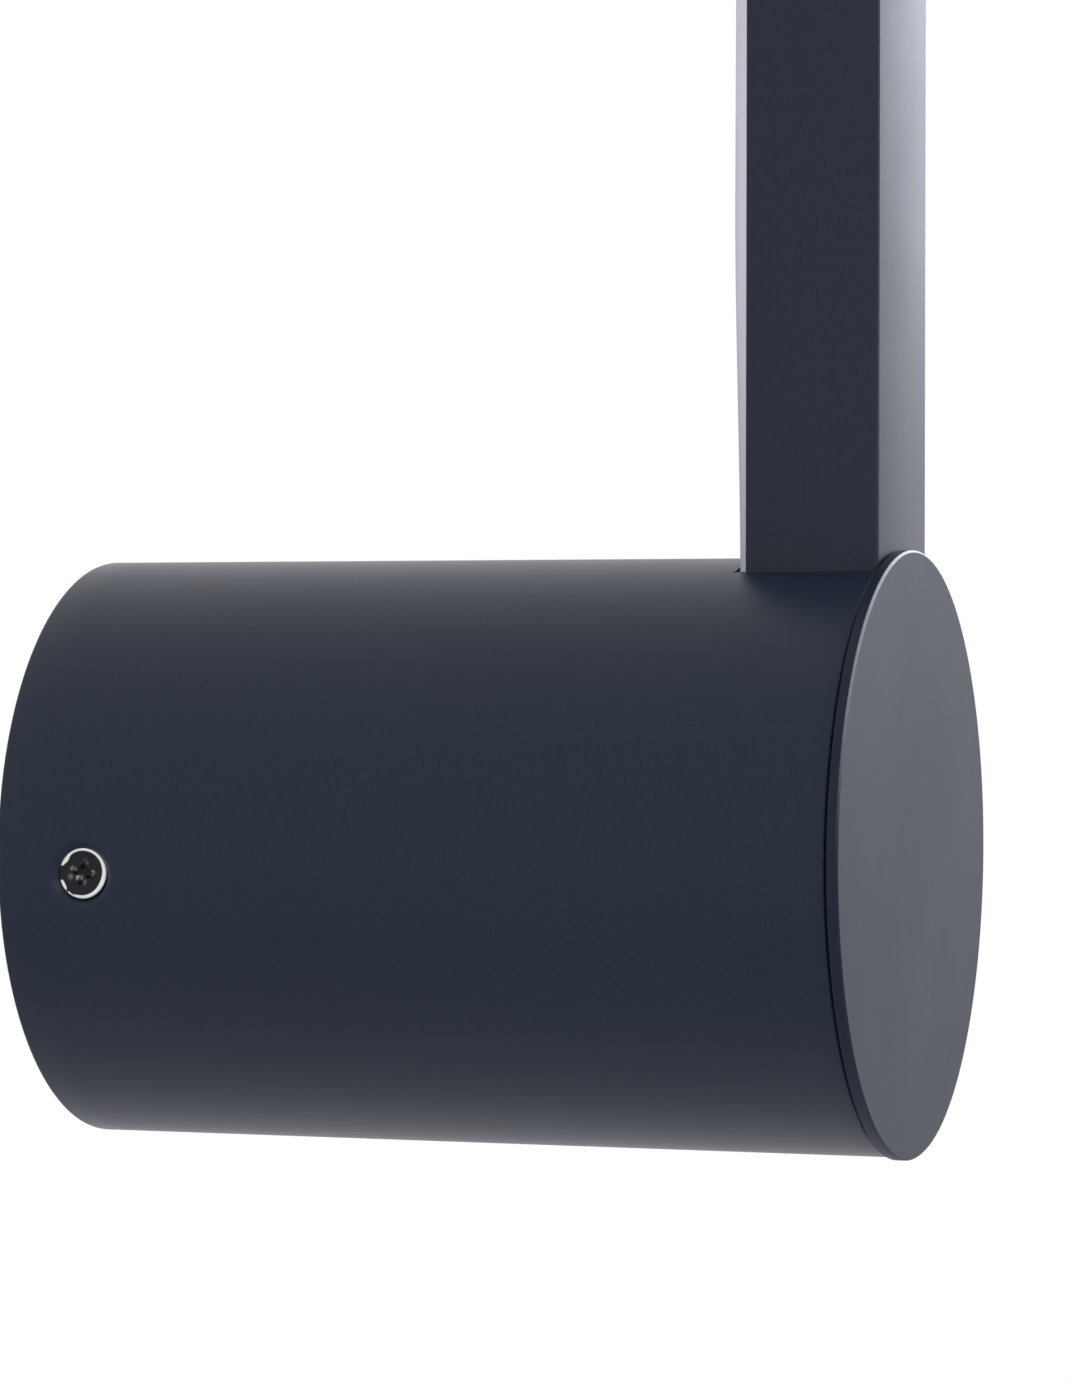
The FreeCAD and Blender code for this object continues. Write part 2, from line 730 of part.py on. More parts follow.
def make_bar_diffuser(doc):
    """An opal cover that lies on the bar's two edges, with a leg inside each."""
    body = new_body(doc, "bar_diffuser")
    section = sketch_on(body, "XY_Plane", "diffuser_start")
    half = [
        ("diffuser_half - diffuser_wall", "diffuser_lip"), ("diffuser_half", "diffuser_lip"),
        ("diffuser_half", "bar_depth"), ("cover_half", "bar_depth"),
        ("cover_half", "diffuser_back - diffuser_round"),
        ("cover_half - diffuser_round", "diffuser_back"),
    ]
    outside = [(x, bar_y(v)) for x, v in half]
    mirror = [(f"-({x})", y) for x, y in reversed(outside)]
    inside = bar_y("diffuser_back - diffuser_wall")
    trough = [("-diffuser_half + diffuser_wall", inside), ("diffuser_half - diffuser_wall", inside)]
    polygon(section, outside + mirror + trough)
    pad(body, section, "bar_top - diffuser_start")
    return body


def make_light_board(doc):
    across = ("-board_half", "board_half")
    tape_depth = (bar_to_wall("board_front"), bar_to_wall("profile_floor"))
    board_depth = (bar_to_wall("board_back"), bar_to_wall("board_front"))
    height = ("board_low", "board_high")
    keep("thermal_tape", box(doc, "thermal_tape", across, tape_depth, height))
    keep("led_board", box(doc, "led_board", across, board_depth, height))
    count = int(number(doc, "(board_high - board_low - chip_start - chip_length) / chip_pitch")) + 1
    chips = []
    chip_depth = (bar_to_wall("board_back + chip_thickness"), bar_to_wall("board_back"))
    for i in range(count):
        low = f"board_low + chip_start + {i} * chip_pitch"
        chips.append(box(doc, "led_chip", ("-chip_width / 2", "chip_width / 2"), chip_depth,
                         (low, f"{low} + chip_length")))
    group(doc, "led_chips", chips)


def make_bar_end(doc):
    """The cap on the bar's top, with two flat-head screws into the bar's screw ports."""
    body = new_body(doc, "bar_end_cap")
    plate = sketch_on(body, "XY_Plane", "bar_top")
    rectangle(plate, ("-bar_width / 2", bar_y("0")), ("bar_width / 2", bar_y("diffuser_back")))
    pad(body, plate, "end_thickness")
    spigot = sketch_on(body, "XY_Plane", "bar_top")
    rectangle(spigot, ("-channel_half + end_fit", bar_y("port_back + end_fit")),
              ("channel_half - end_fit", bar_y("ledge_front - end_fit")))
    pad(body, spigot, "end_spigot", backwards=True)
    mouth = "small_head + flat_head_land"
    pieces = []
    for side in (-1, 1):
        across = f"{side} * port_across"
        depth = bar_to_wall("port_bar_depth")
        sink = sketch_on(body, "XZ_Plane", depth, shift=across, rise="bar_top")
        polygon(sink, [
            ("0", "0"),
            ("small_hole", "0"),
            ("small_hole", f"end_thickness - ({mouth}) + small_hole"),
            (mouth, "end_thickness"),
            ("0", "end_thickness"),
        ])
        bored(body, sink, "V_Axis")
        pieces.append(screw(doc, "end_cap_screw", "small_thread", "end_screw_length",
                            "small_head", (across, depth, "bar_top + end_thickness"), "up"))
    group(doc, "end_cap_screws", pieces)


def make_foot_block(doc):
    """The block in the bar's foot, which ties the bar to the carrier plate."""
    body = new_body(doc, "foot_block")
    section = sketch_on(body, "XY_Plane", "bar_foot")
    half = [
        ("block_slot / 2", "block_back - block_slot_depth"), ("block_slot / 2", "block_back"),
        ("ledge_half - block_fit", "block_back"),
        ("ledge_half - block_fit", "port_back + block_fit"),
        ("port_inner - block_fit", "port_back + block_fit"),
        ("port_inner - block_fit", "profile_floor"),
    ]
    right = [(x, bar_y(v)) for x, v in half]
    left = [(f"-({x})", y) for x, y in reversed(right)]
    polygon(section, right + left)
    pad(body, section, "block_height")
    front = sketch_on(body, "XZ_Plane", bar_to_wall("profile_floor"))
    for i in range(2):
        circle(front, "0", front_screw_height(i), "medium_bore")
    pocket(body, front, "front_screw_length - profile_floor + tip_gap")
    rear = sketch_on(body, "XZ_Plane", "plate_front")
    for side in (-1, 1):
        circle(rear, f"{side} * rear_screw_offset", "bar_foot + rear_screw_height", "large_bore")
    pocket(body, rear, "rear_screw_length - plate_thickness + tip_gap", along_normal=True)
    fronts = [screw(doc, "foot_front_screw", "medium_thread", "front_screw_length",
                    "medium_flat_head", ("0", "tube_front", front_screw_height(i)), "front")
              for i in range(2)]
    group(doc, "foot_front_screws", fronts)
    rears = [plate_screw(doc, "foot_rear_screw", f"{side} * rear_screw_offset",
                         "bar_foot + rear_screw_height", "rear_screw_length") for side in (-1, 1)]
    group(doc, "foot_rear_screws", rears)


# Carrier plate, which joins the bar, the cap and the tray inside the tube

def plate_screw(doc, name, across, height, length, seat="plate_back"):
    """A large pan-head screw driven towards the front from behind the carrier plate."""
    return screw(doc, name, "large_thread", length, "large_head", (across, seat, height), "wall",
                 "large_head_height")


def make_carrier_plate(doc):
    body = new_body(doc, "carrier_plate")
    disc = sketch_on(body, "XZ_Plane", "plate_back")
    circle(disc, "0", "0", "tube_bore - plate_fit")
    circle(disc, "0", "lead_hole_height", "lead_hole_radius")
    for side in (-1, 1):
        circle(disc, f"{side} * post_across", "post_height", "large_hole")
        circle(disc, f"{side} * rear_screw_offset", "bar_foot + rear_screw_height", "large_hole")
        circle(disc, f"{side} * tray_screw_offset", "tray_screw_height", "large_bore")
    pad(body, disc, "plate_thickness")
    group(doc, "cap_screws", [
        plate_screw(doc, "cap_screw", f"{side} * post_across", "post_height", "cap_screw_length")
        for side in (-1, 1)])
    make_grommet(doc, "lead_grommet", ("0", "lead_hole_height"), ("plate_back", "plate_front"),
                 "lead_hole_radius", "lead_grommet_bore", "lead_grommet_flange",
                 "lead_grommet_reach", flush=False)


def make_grommet(doc, node, place, span, hole, bore, flange, reach, flush):
    """A rubber ring in a plate's hole, with a flange on each face.

    A flush grommet has its wall-side flange sunk in the plate.
    """
    across, height = place
    near, far = span
    start = near if flush else f"({near}) - ({flange})"
    wide = f"({hole}) + ({reach})"
    whole = f"({far}) + ({flange}) - ({start})"
    pieces = [
        rod(doc, node + "_neck", f"({hole}) - grommet_fit", whole, (across, start, height)),
        rod(doc, node + "_near", wide, flange, (across, start, height)),
        rod(doc, node + "_far", wide, flange, (across, far, height)),
    ]
    hollow = rod(doc, node + "_bore", bore, whole, (across, start, height))
    keep(node, cut(doc, node, fuse(doc, node + "_rings", pieces), [hollow]))


# Wall plate and what is fixed to it

def make_wall_plate(doc):
    body = new_body(doc, "wall_plate")
    profile = sketch_on(body, "YZ_Plane")
    polygon(profile, [
        ("0", "0"), ("0", "base_radius"), ("-rim_depth", "base_radius"),
        ("-rim_depth", "rim_bore"), ("-base_thickness", "rim_bore"), ("-base_thickness", "0"),
    ])
    turned(body, profile)
    holes = sketch_on(body, "XZ_Plane")
    circle(holes, "0", "cable_hole_height", "cable_hole_radius")
    for side in (-1, 1):
        slot(holes, f"{side} * slot_spacing / 2", "0", "slot_length", "slot_radius")
        circle(holes, f"{side} * pole_pitch / 2", "terminal_middle", "small_bore")
    circle(holes, "earth_screw_across", "earth_screw_height", "large_bore")
    pocket(body, holes, "base_thickness", along_normal=True)
    recess = sketch_on(body, "XZ_Plane")
    circle(recess, "0", "cable_hole_height", "cable_flange + grommet_fit")
    pocket(body, recess, "grommet_flange", along_normal=True)
    thread = sketch_on(body, "XZ_Plane", "side_screw_depth", turn="-side_screw_drop")
    rectangle(thread, ("rim_bore - tip_gap", "0"), ("tube_bore", "large_bore"))
    mirrored(body, bored(body, thread))
    make_grommet(doc, "supply_grommet", ("0", "cable_hole_height"), ("0", "base_thickness"),
                 "cable_hole_radius", "cable_bore", "grommet_flange", "grommet_reach", flush=True)


def pole(i):
    """X of one of the terminal block's three poles."""
    return f"{i - 1} * pole_pitch"


def make_terminal_block(doc):
    low_end = "terminal_low + barrel_inset"
    blank = box(doc, "terminal_blank", ("-terminal_half", "terminal_half"),
                ("base_thickness", "terminal_front"), ("terminal_low", "terminal_top"))
    hollows = []
    barrels = []
    clamps = []
    for i in range(3):
        hollows.append(rod(doc, "barrel_hole", "barrel_radius + terminal_fit", "terminal_height",
                           (pole(i), "barrel_place", "terminal_low"), "up"))
        length = "terminal_height - 2 * barrel_inset"
        spot = (pole(i), "barrel_place", low_end)
        threads = [rod(doc, "barrel_bore", "barrel_bore", length, spot, "up")]
        for height in ("terminal_low + clamp_inset", "terminal_top - clamp_inset"):
            axis = (pole(i), "barrel_place", height)
            hollows.append(rod(doc, "clamp_well", "clamp_radius + terminal_fit",
                               "terminal_front - barrel_place", axis))
            threads.append(rod(doc, "clamp_thread", "clamp_radius + thread_fit",
                               "2 * barrel_radius", axis))
            tip = (pole(i), "barrel_place + mains_radius + thread_fit", height)
            pin = rod(doc, "clamp_pin", "clamp_radius", "clamp_length", tip)
            far = "barrel_place + mains_radius + thread_fit + clamp_length"
            groove = box(doc, "clamp_groove",
                         (f"{pole(i)} - clamp_radius", f"{pole(i)} + clamp_radius"),
                         (f"{far} - cross_width", far),
                         (f"{height} - clamp_slot / 2", f"{height} + clamp_slot / 2"))
            clamps.append(cut(doc, "clamp", pin, [groove]))
        barrels.append(cut(doc, "barrel", rod(doc, "barrel_blank", "barrel_radius", length, spot,
                                              "up"), threads))
    fixings = []
    for side in (-1, 1):
        across = f"{side} * pole_pitch / 2"
        floor = "base_thickness + fixing_floor"
        hollows.append(rod(doc, "fixing_hole", "small_hole", "terminal_depth",
                           (across, "base_thickness", "terminal_middle")))
        hollows.append(rod(doc, "fixing_well", "small_head + terminal_fit", "terminal_depth",
                           (across, floor, "terminal_middle")))
        fixings.append(screw(doc, "fixing_screw", "small_thread", "fixing_screw_length",
                             "small_head", (across, floor, "terminal_middle"), "front",
                             "small_head_height"))
    keep("terminal_block", cut(doc, "terminal_block", blank, hollows))
    group(doc, "terminal_barrels", barrels)
    group(doc, "terminal_clamps", clamps)
    group(doc, "terminal_fixing_screws", fixings)


def make_earth_point(doc):
    """The earth screw on the wall plate, with the tag that it clamps."""
    across, height = "earth_screw_across", "earth_screw_height"
    ring = rod(doc, "tag_ring", "tag_radius", "tag_thickness", (across, "base_thickness", height))
    low = f"{height} - tag_radius + sleeve_wall - sleeve_length"
    sleeve = rod(doc, "tag_sleeve", "sleeve_radius", "sleeve_length", (across, "sleeve_place", low),
                 "up")
    bore = rod(doc, "tag_bore", "mains_radius + grommet_fit", "sleeve_length",
               (across, "sleeve_place", low), "up")
    eye = rod(doc, "tag_eye", "large_hole", "tag_thickness", (across, "base_thickness", height))
    keep("earth_tag", cut(doc, "earth_tag", fuse(doc, "tag_blank", [ring, sleeve]), [bore, eye]))
    keep("earth_screw", screw(doc, "earth_screw", "large_thread", "earth_screw_length",
                              "large_head", (across, "base_thickness + tag_thickness", height),
                              "front", "large_head_height"))


# Driver and its tray

def ear_places():
    """Depth spans of the driver's two fixing ears."""
    return (("driver_near - ear_length", "driver_near"), ("driver_far", "driver_far + ear_length"))


def ear_centre(span):
    return f"({span[0]} + {span[1]}) / 2"


def make_driver_tray(doc):
    body = new_body(doc, "driver_tray")
    plate = sketch_on(body, "XY_Plane", "tray_low")
    rectangle(plate, ("-tray_half", "-plate_back"), ("tray_half", "-tray_back"))
    for span in ear_places():
        circle(plate, "0", f"-{ear_centre(span)}", "small_bore")
    pad(body, plate, "tray_thickness")
    flange = sketch_on(body, "XZ_Plane", "plate_back - tray_thickness")
    rectangle(flange, ("-flange_width / 2", "flange_low"), ("flange_width / 2", "tray_low"))
    for side in (-1, 1):
        circle(flange, f"{side} * tray_screw_offset", "tray_screw_height", "large_hole")
    pad(body, flange, "tray_thickness")
    group(doc, "tray_screws", [
        plate_screw(doc, "tray_screw", f"{side} * tray_screw_offset", "tray_screw_height",
                    "tray_screw_length", "plate_back - tray_thickness") for side in (-1, 1)])
    group(doc, "driver_screws", [
        screw(doc, "driver_screw", "small_thread", "driver_screw_length", "small_head",
              ("0", ear_centre(span), "tray_height + ear_thickness"), "up", "small_head_height")
        for span in ear_places()])


def make_driver_case(doc):
    """The lower shell, with a ledge for the board, two ears and holes for the leads."""
    across = ("-driver_half", "driver_half")
    length = ("driver_near", "driver_far")
    parts = [box(doc, "case_blank", across, length, ("tray_height", "driver_seam"))]
    inside = ("-driver_half + driver_wall", "driver_half - driver_wall")
    run = ("driver_near + driver_wall", "driver_far - driver_wall")
    lower = ("-driver_half + driver_wall + driver_ledge", "driver_half - driver_wall - driver_ledge")
    floor = "tray_height + driver_wall"
    hollows = [box(doc, "case_upper", inside, run, ("pcb_low", "driver_seam")),
               box(doc, "case_lower", lower, run, (floor, "pcb_low"))]
    for span in ear_places():
        parts.append(box(doc, "case_ear", ("-ear_width / 2", "ear_width / 2"), span,
                         ("tray_height", "tray_height + ear_thickness")))
        hollows.append(rod(doc, "ear_hole", "small_hole", "ear_thickness",
                           ("0", ear_centre(span), "tray_height"), "up"))
    for across_lead in ("-led_spread", "led_spread"):
        hollows.append(rod(doc, "led_exit", "led_hole", "driver_wall",
                           (across_lead, "driver_far - driver_wall", "lead_hole_height")))
    for i in range(2):
        hollows.append(rod(doc, "mains_exit", "mains_hole", "driver_wall",
                           (pole(i), "driver_near", "mains_height")))
    keep("driver_case", cut(doc, "driver_case", fuse(doc, "case_parts", parts), hollows))


def make_driver_lid(doc):
    across = ("-driver_half", "driver_half")
    length = ("driver_near", "driver_far")
    blank = box(doc, "lid_blank", across, length, ("driver_seam", "driver_top"))
    lip_out = "driver_half - driver_wall - driver_fit"
    lip_run = ("driver_near + driver_wall + driver_fit", "driver_far - driver_wall - driver_fit")
    lip = box(doc, "lid_lip", (f"-({lip_out})", lip_out), lip_run,
              ("driver_seam - driver_wall", "driver_seam"))
    inner = "driver_half - 2 * driver_wall"
    inner_run = ("driver_near + 2 * driver_wall", "driver_far - 2 * driver_wall")
    hollow = box(doc, "lid_hollow", (f"-({inner})", inner), inner_run,
                 ("driver_seam - driver_wall", "driver_top - driver_wall"))
    keep("driver_lid", cut(doc, "driver_lid", fuse(doc, "lid_parts", [blank, lip]), [hollow]))


def make_driver_inside(doc):
    half = "driver_half - driver_wall - driver_fit"
    run = ("driver_near + driver_wall + driver_fit", "driver_far - driver_wall - driver_fit")
    keep("driver_board", box(doc, "driver_board", (f"-({half})", half), run,
                             ("pcb_low", "pcb_high")))
    row = "driver_near + mains_tail + capacitor_gap + capacitor_radius"
    group(doc, "driver_capacitors", [
        rod(doc, "capacitor", "capacitor_radius", "capacitor_height",
            (f"{side} * transformer_width / 2", row, "pcb_high"), "up") for side in (-1, 1)])
    start = f"{row} + capacitor_radius + transformer_gap"
    keep("driver_transformer", box(doc, "driver_transformer",
                                   ("-transformer_width / 2", "transformer_width / 2"),
                                   (start, f"{start} + transformer_length"),
                                   ("pcb_high", "pcb_high + transformer_height")))


# Leads inside the lamp

def make_led_leads(doc):
    """From the driver, through the carrier plate and up behind the foot block to the light board."""
    rise = bar_to_wall("led_bar_depth")
    board = bar_to_wall("board_back + led_radius + thread_fit")
    for node, side in (("led_lead_positive", -1), ("led_lead_negative", 1)):
        across = f"{side} * led_spread"
        lead(doc, node, "led_radius", [
            (across, "driver_far - led_tail", "lead_hole_height"),
            (across, rise, "lead_hole_height"),
            (across, rise, "board_low - led_rise"),
            (across, board, "board_low - led_radius"),
            (across, board, "board_low + led_tail"),
        ])


def make_mains_leads(doc):
    """From the driver down into the terminal block's first two poles."""
    for i, node in enumerate(("live_lead", "neutral_lead")):
        lead(doc, node, "mains_radius", [
            (pole(i), "driver_near + mains_tail", "mains_height"),
            (pole(i), "barrel_place", "mains_height"),
            (pole(i), "barrel_place", "terminal_top - clamped_length"),
        ])


def make_earth_lead(doc):
    """From the earth tag down into the terminal block's third pole."""
    tag = "sleeve_place"
    lead(doc, "earth_lead", "mains_radius", [
        ("earth_screw_across", tag, "earth_screw_height - tag_radius"),
        ("earth_screw_across", tag, "earth_screw_height - earth_drop"),
        (pole(2), "barrel_place", "earth_bend_height"),
        (pole(2), "barrel_place", "terminal_top - clamped_length"),
    ])


def fill_sheet(doc):
    """Write every size into the sheet under its own name."""
    sheet = doc.addObject("Spreadsheet::Sheet", "sizes")
    for row, (name, value) in enumerate(SIZES.items(), start=1):
        sheet.set(f"A{row}", name)
        sheet.set(f"B{row}", str(value))
        sheet.setAlias(f"B{row}", name)
    doc.addObject("App::FeaturePython", "origin_mark")
    doc.recompute()


def check(doc):
    """Stop if any object failed or any piece is empty or broken."""
    for item in doc.Objects:
        if "Invalid" in item.State or "Error" in item.State:
            raise RuntimeError(f"{item.Label} failed: {item.State}")
    for node, piece in subparts.items():
        if piece.Shape.isNull() or not piece.Shape.isValid() or not piece.Shape.Solids:
            raise RuntimeError(f"{node} has no sound shape")


def main():
    doc = FreeCAD.newDocument("tube_wall_light")
    fill_sheet(doc)
    make_body_tube(doc)
    make_front_cap(doc)
    make_side_screws(doc)
    make_bar_profile(doc)
    make_bar_diffuser(doc)
    make_light_board(doc)
    make_bar_end(doc)
    make_foot_block(doc)
    make_carrier_plate(doc)
    make_wall_plate(doc)
    make_terminal_block(doc)
    make_earth_point(doc)
    make_driver_tray(doc)
    make_driver_case(doc)
    make_driver_lid(doc)
    make_driver_inside(doc)
    doc.recompute()
    make_led_leads(doc)
    make_mains_leads(doc)
    make_earth_lead(doc)
    doc.recompute()
    check(doc)
    os.makedirs("parts", exist_ok=True)
    for node, piece in subparts.items():
        piece.Shape.exportStep(f"parts/{node}.step")
        print(f"{node}: {len(piece.Shape.Solids)} solids, {piece.Shape.Volume:.1f} mm3")


main()
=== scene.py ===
import bmesh
import bpy
import numpy as np
from mathutils import Matrix, Vector


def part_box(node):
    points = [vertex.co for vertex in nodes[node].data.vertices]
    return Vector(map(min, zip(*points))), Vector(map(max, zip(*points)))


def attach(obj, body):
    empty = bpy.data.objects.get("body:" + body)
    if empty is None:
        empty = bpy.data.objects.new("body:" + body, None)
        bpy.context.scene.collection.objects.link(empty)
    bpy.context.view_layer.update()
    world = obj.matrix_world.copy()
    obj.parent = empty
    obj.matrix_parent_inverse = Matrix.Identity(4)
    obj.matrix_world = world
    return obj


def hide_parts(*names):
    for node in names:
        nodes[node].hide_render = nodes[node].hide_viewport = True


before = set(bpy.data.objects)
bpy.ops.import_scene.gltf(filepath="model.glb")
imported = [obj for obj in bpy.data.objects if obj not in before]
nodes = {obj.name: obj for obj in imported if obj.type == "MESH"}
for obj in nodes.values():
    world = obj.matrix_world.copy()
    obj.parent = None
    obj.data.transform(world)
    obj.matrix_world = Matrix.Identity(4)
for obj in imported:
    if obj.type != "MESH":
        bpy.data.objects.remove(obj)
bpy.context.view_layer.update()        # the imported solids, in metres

scene = bpy.context.scene
mm = 0.001
print("frame loaded:", len(nodes), "solids")


# Each cell of a grid of points becomes a quad: a point, the next in its row, and the two below them.
# A closed direction also joins the last points to the first.
def gridQuads(rows, columns, closedRows=False, closedColumns=False, first=0):
    number = first + np.arange(rows * columns).reshape(rows, columns)
    right = np.roll(number, -1, 1)
    quads = np.stack([number, right, np.roll(right, -1, 0), np.roll(number, -1, 0)], -1)
    return quads[:rows if closedRows else rows - 1, :columns if closedColumns else columns - 1]


# Rounds a closed outline of (across, along, radius) corners. An arc's centre lies along the corner's
# bisector at radius / sin(half angle), and its points turn evenly from one end of the arc to the other.
def roundedOutline(corners, steps=4):
    corners = np.array(corners, float)
    place, radius = corners[:, :2], corners[:, 2:]
    before, after = np.roll(place, 1, 0) - place, np.roll(place, -1, 0) - place
    before /= np.linalg.norm(before, axis=1, keepdims=True)
    after /= np.linalg.norm(after, axis=1, keepdims=True)
    bisector = (before + after) / np.maximum(np.linalg.norm(before + after, axis=1, keepdims=True), 1e-9)
    cosine = (before * bisector).sum(1, keepdims=True)
    sine = np.sqrt(np.maximum(1 - cosine ** 2, 1e-12))
    centre = place + bisector * radius / sine
    start = place + before * radius * cosine / sine - centre
    end = place + after * radius * cosine / sine - centre
    turn = np.maximum(np.pi - 2 * np.arccos(np.clip(cosine, -1, 1)), 1e-6)[:, None]
    share = np.linspace(0, 1, steps + 1)[None, :, None]
    arcs = np.sin((1 - share) * turn) * start[:, None] + np.sin(share * turn) * end[:, None]
    return (centre[:, None] + arcs / np.sin(turn)).reshape(-1, 2)


# Turns a profile of (radius, depth) about the lamp's axis: x = radius sin(angle), z = radius cos(angle) and
# y = -depth.
def turnedPoints(profile, angles):
    radius, depth = np.asarray(profile)[:, 0, None], np.asarray(profile)[:, 1, None]
    return np.stack([radius * np.sin(angles), -depth + 0 * angles, radius * np.cos(angles)], -1)


# Bends a square block of grid cells into rings. Every point in the ring that lies c cells from the block's
# centre moves to rings[c] times the cosine and sine of its direction, or part of the way where weights[c] is
# under 1.
def ringBlock(across, along, row, column, rings, weights):
    i, j = np.indices(across.shape)
    i, j = i - row, j - column
    ring = np.maximum(abs(i), abs(j))
    inside = ring < len(rings)
    ring = np.minimum(ring, len(rings) - 1)
    direction = np.arctan2(i, j)
    weight = np.where(inside, np.array(weights)[ring], 0.0)
    radius = np.array(rings)[ring]
    return (across + weight * (radius * np.cos(direction) - across),
            along + weight * (radius * np.sin(direction) - along), inside)


# The faces of a wall between an outer and an inner grid of the same shape, whose columns close round: the
# kept cells of both, and a strip from one grid to the other along each edge where a kept cell meets a
# removed one, or the grid's open ends.
def walledFaces(removed):
    rows, columns = removed.shape[0] + 1, removed.shape[1]
    quads = gridQuads(rows, columns, closedColumns=True)
    number = np.arange(rows * columns).reshape(rows, columns)
    padded = np.pad(removed, ((1, 1), (0, 0)), constant_values=True)
    across = padded[1:] != padded[:-1]
    cellEnd = np.roll(number, -1, 1)
    along = removed != np.roll(removed, 1, 1)
    edges = np.concatenate([np.stack([number[across], cellEnd[across]], -1),
                            np.stack([number[:-1][along], number[1:][along]], -1)])
    shift = rows * columns
    strip = np.stack([edges[:, 0], edges[:, 1], edges[:, 1] + shift, edges[:, 0] + shift], -1)
    return np.concatenate([quads[~removed], quads[~removed] + shift, strip])


# The lower of two heights, with their crossing rounded over a width.
def roundedMinimum(first, second, width):
    share = np.clip(0.5 + 0.5 * (second - first) / width, 0, 1)
    return second + (first - second) * share - width * share * (1 - share)


def smoothStep(low, high, value):        # 0 below low, 1 above high, 3t^2 - 2t^3 between
    t = np.clip((value - low) / (high - low), 0, 1)
    return t * t * (3 - 2 * t)


# Puts points in millimetres and faces into an object at the origin. Equal points become one, faces turn
# outwards, and only edges steeper than the crease angle stay sharp. Masks are values per point, which the
# materials read.
def makePiece(name, points, faces, crease=35, masks=None):
    mesh = bpy.data.meshes.new(name)
    points = np.asarray(points, float).reshape(-1, 3)
    mesh.from_pydata((points * mm).tolist(), [], [list(map(int, face)) for face in faces])
    for key, values in (masks or {}).items():
        values = np.broadcast_to(values, len(points)).astype(np.float32)
        mesh.attributes.new(key, "FLOAT", "POINT").data.foreach_set("value", values)
    shape = bmesh.new()
    shape.from_mesh(mesh)
    bmesh.ops.remove_doubles(shape, verts=shape.verts, dist=1e-6)
    bmesh.ops.delete(shape, geom=[v for v in shape.verts if not v.link_faces], context="VERTS")
    bmesh.ops.recalc_face_normals(shape, faces=shape.faces)
    shape.to_mesh(mesh)
    shape.free()
    mesh.polygons.foreach_set("use_smooth", np.ones(len(mesh.polygons), bool))
    mesh.set_sharp_from_angle(angle=np.radians(crease))
    piece = bpy.data.objects.new(name, mesh)
    scene.collection.objects.link(piece)
    return piece


def finishPiece(piece, node, material):
    piece.data.materials.append(material)
    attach(piece, "root")
    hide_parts(node)
    print(f"{piece.name}: {len(piece.data.polygons)} faces, for {node}")
    return piece


def nodeBox(node):        # a solid's lowest and highest corner, in millimetres
    low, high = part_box(node)
    return np.array(low) / mm, np.array(high) / mm


def newGroup(name, inputs, outputs):
    group = bpy.data.node_groups.new(name, "ShaderNodeTree")
    for label, kind, value in inputs:
        group.interface.new_socket(label, in_out="INPUT", socket_type=kind).default_value = value
    for label, kind in outputs:
        group.interface.new_socket(label, in_out="OUTPUT", socket_type=kind)
    return group, group.nodes.new("NodeGroupInput").outputs, group.nodes.new("NodeGroupOutput").inputs


class Graph:        # short calls for adding nodes to one tree and joining them
    def __init__(self, tree):
        self.tree = tree

    def add(self, kind, links=None, **settings):
        node = self.tree.nodes.new("ShaderNode" + kind)
        for key, value in settings.items():
            setattr(node, key, value)
        for key, value in (links or {}).items():
            self.feed(node.inputs[key], value)
        return node

    def feed(self, socket, value):
        if isinstance(value, bpy.types.NodeSocket):
            self.tree.links.new(value, socket)
        else:
            socket.default_value = value

    def math(self, operation, first, second=0.0, third=0.0, clamp=False):
        node = self.add("Math", {0: first, 1: second, 2: third}, operation=operation, use_clamp=clamp)
        return node.outputs[0]

    def ramp(self, value, low, high, start=0.0, end=1.0):
        node = self.add("MapRange", {"Value": value, "From Min": low, "From Max": high,
                                     "To Min": start, "To Max": end}, interpolation_type="SMOOTHSTEP")
        return node.outputs["Result"]

    def noise(self, place, scale, detail=2.0, rough=0.5):
        node = self.add("TexNoise", {"Vector": place, "Scale": scale, "Detail": detail, "Roughness": rough})
        return node.outputs["Fac"]

    def mix(self, share, first, second, mode="MIX"):
        node = self.add("Mix", data_type="RGBA", blend_type=mode)
        for key, value in (("Factor_Float", share), ("A_Color", first), ("B_Color", second)):
            self.feed(next(s for s in node.inputs if s.identifier == key), value)
        return next(s for s in node.outputs if s.identifier == "Result_Color")

    def place(self):
        return self.add("TexCoord").outputs["Object"]

    def mask(self, name):
        return self.add("Attribute", attribute_name=name).outputs["Fac"]


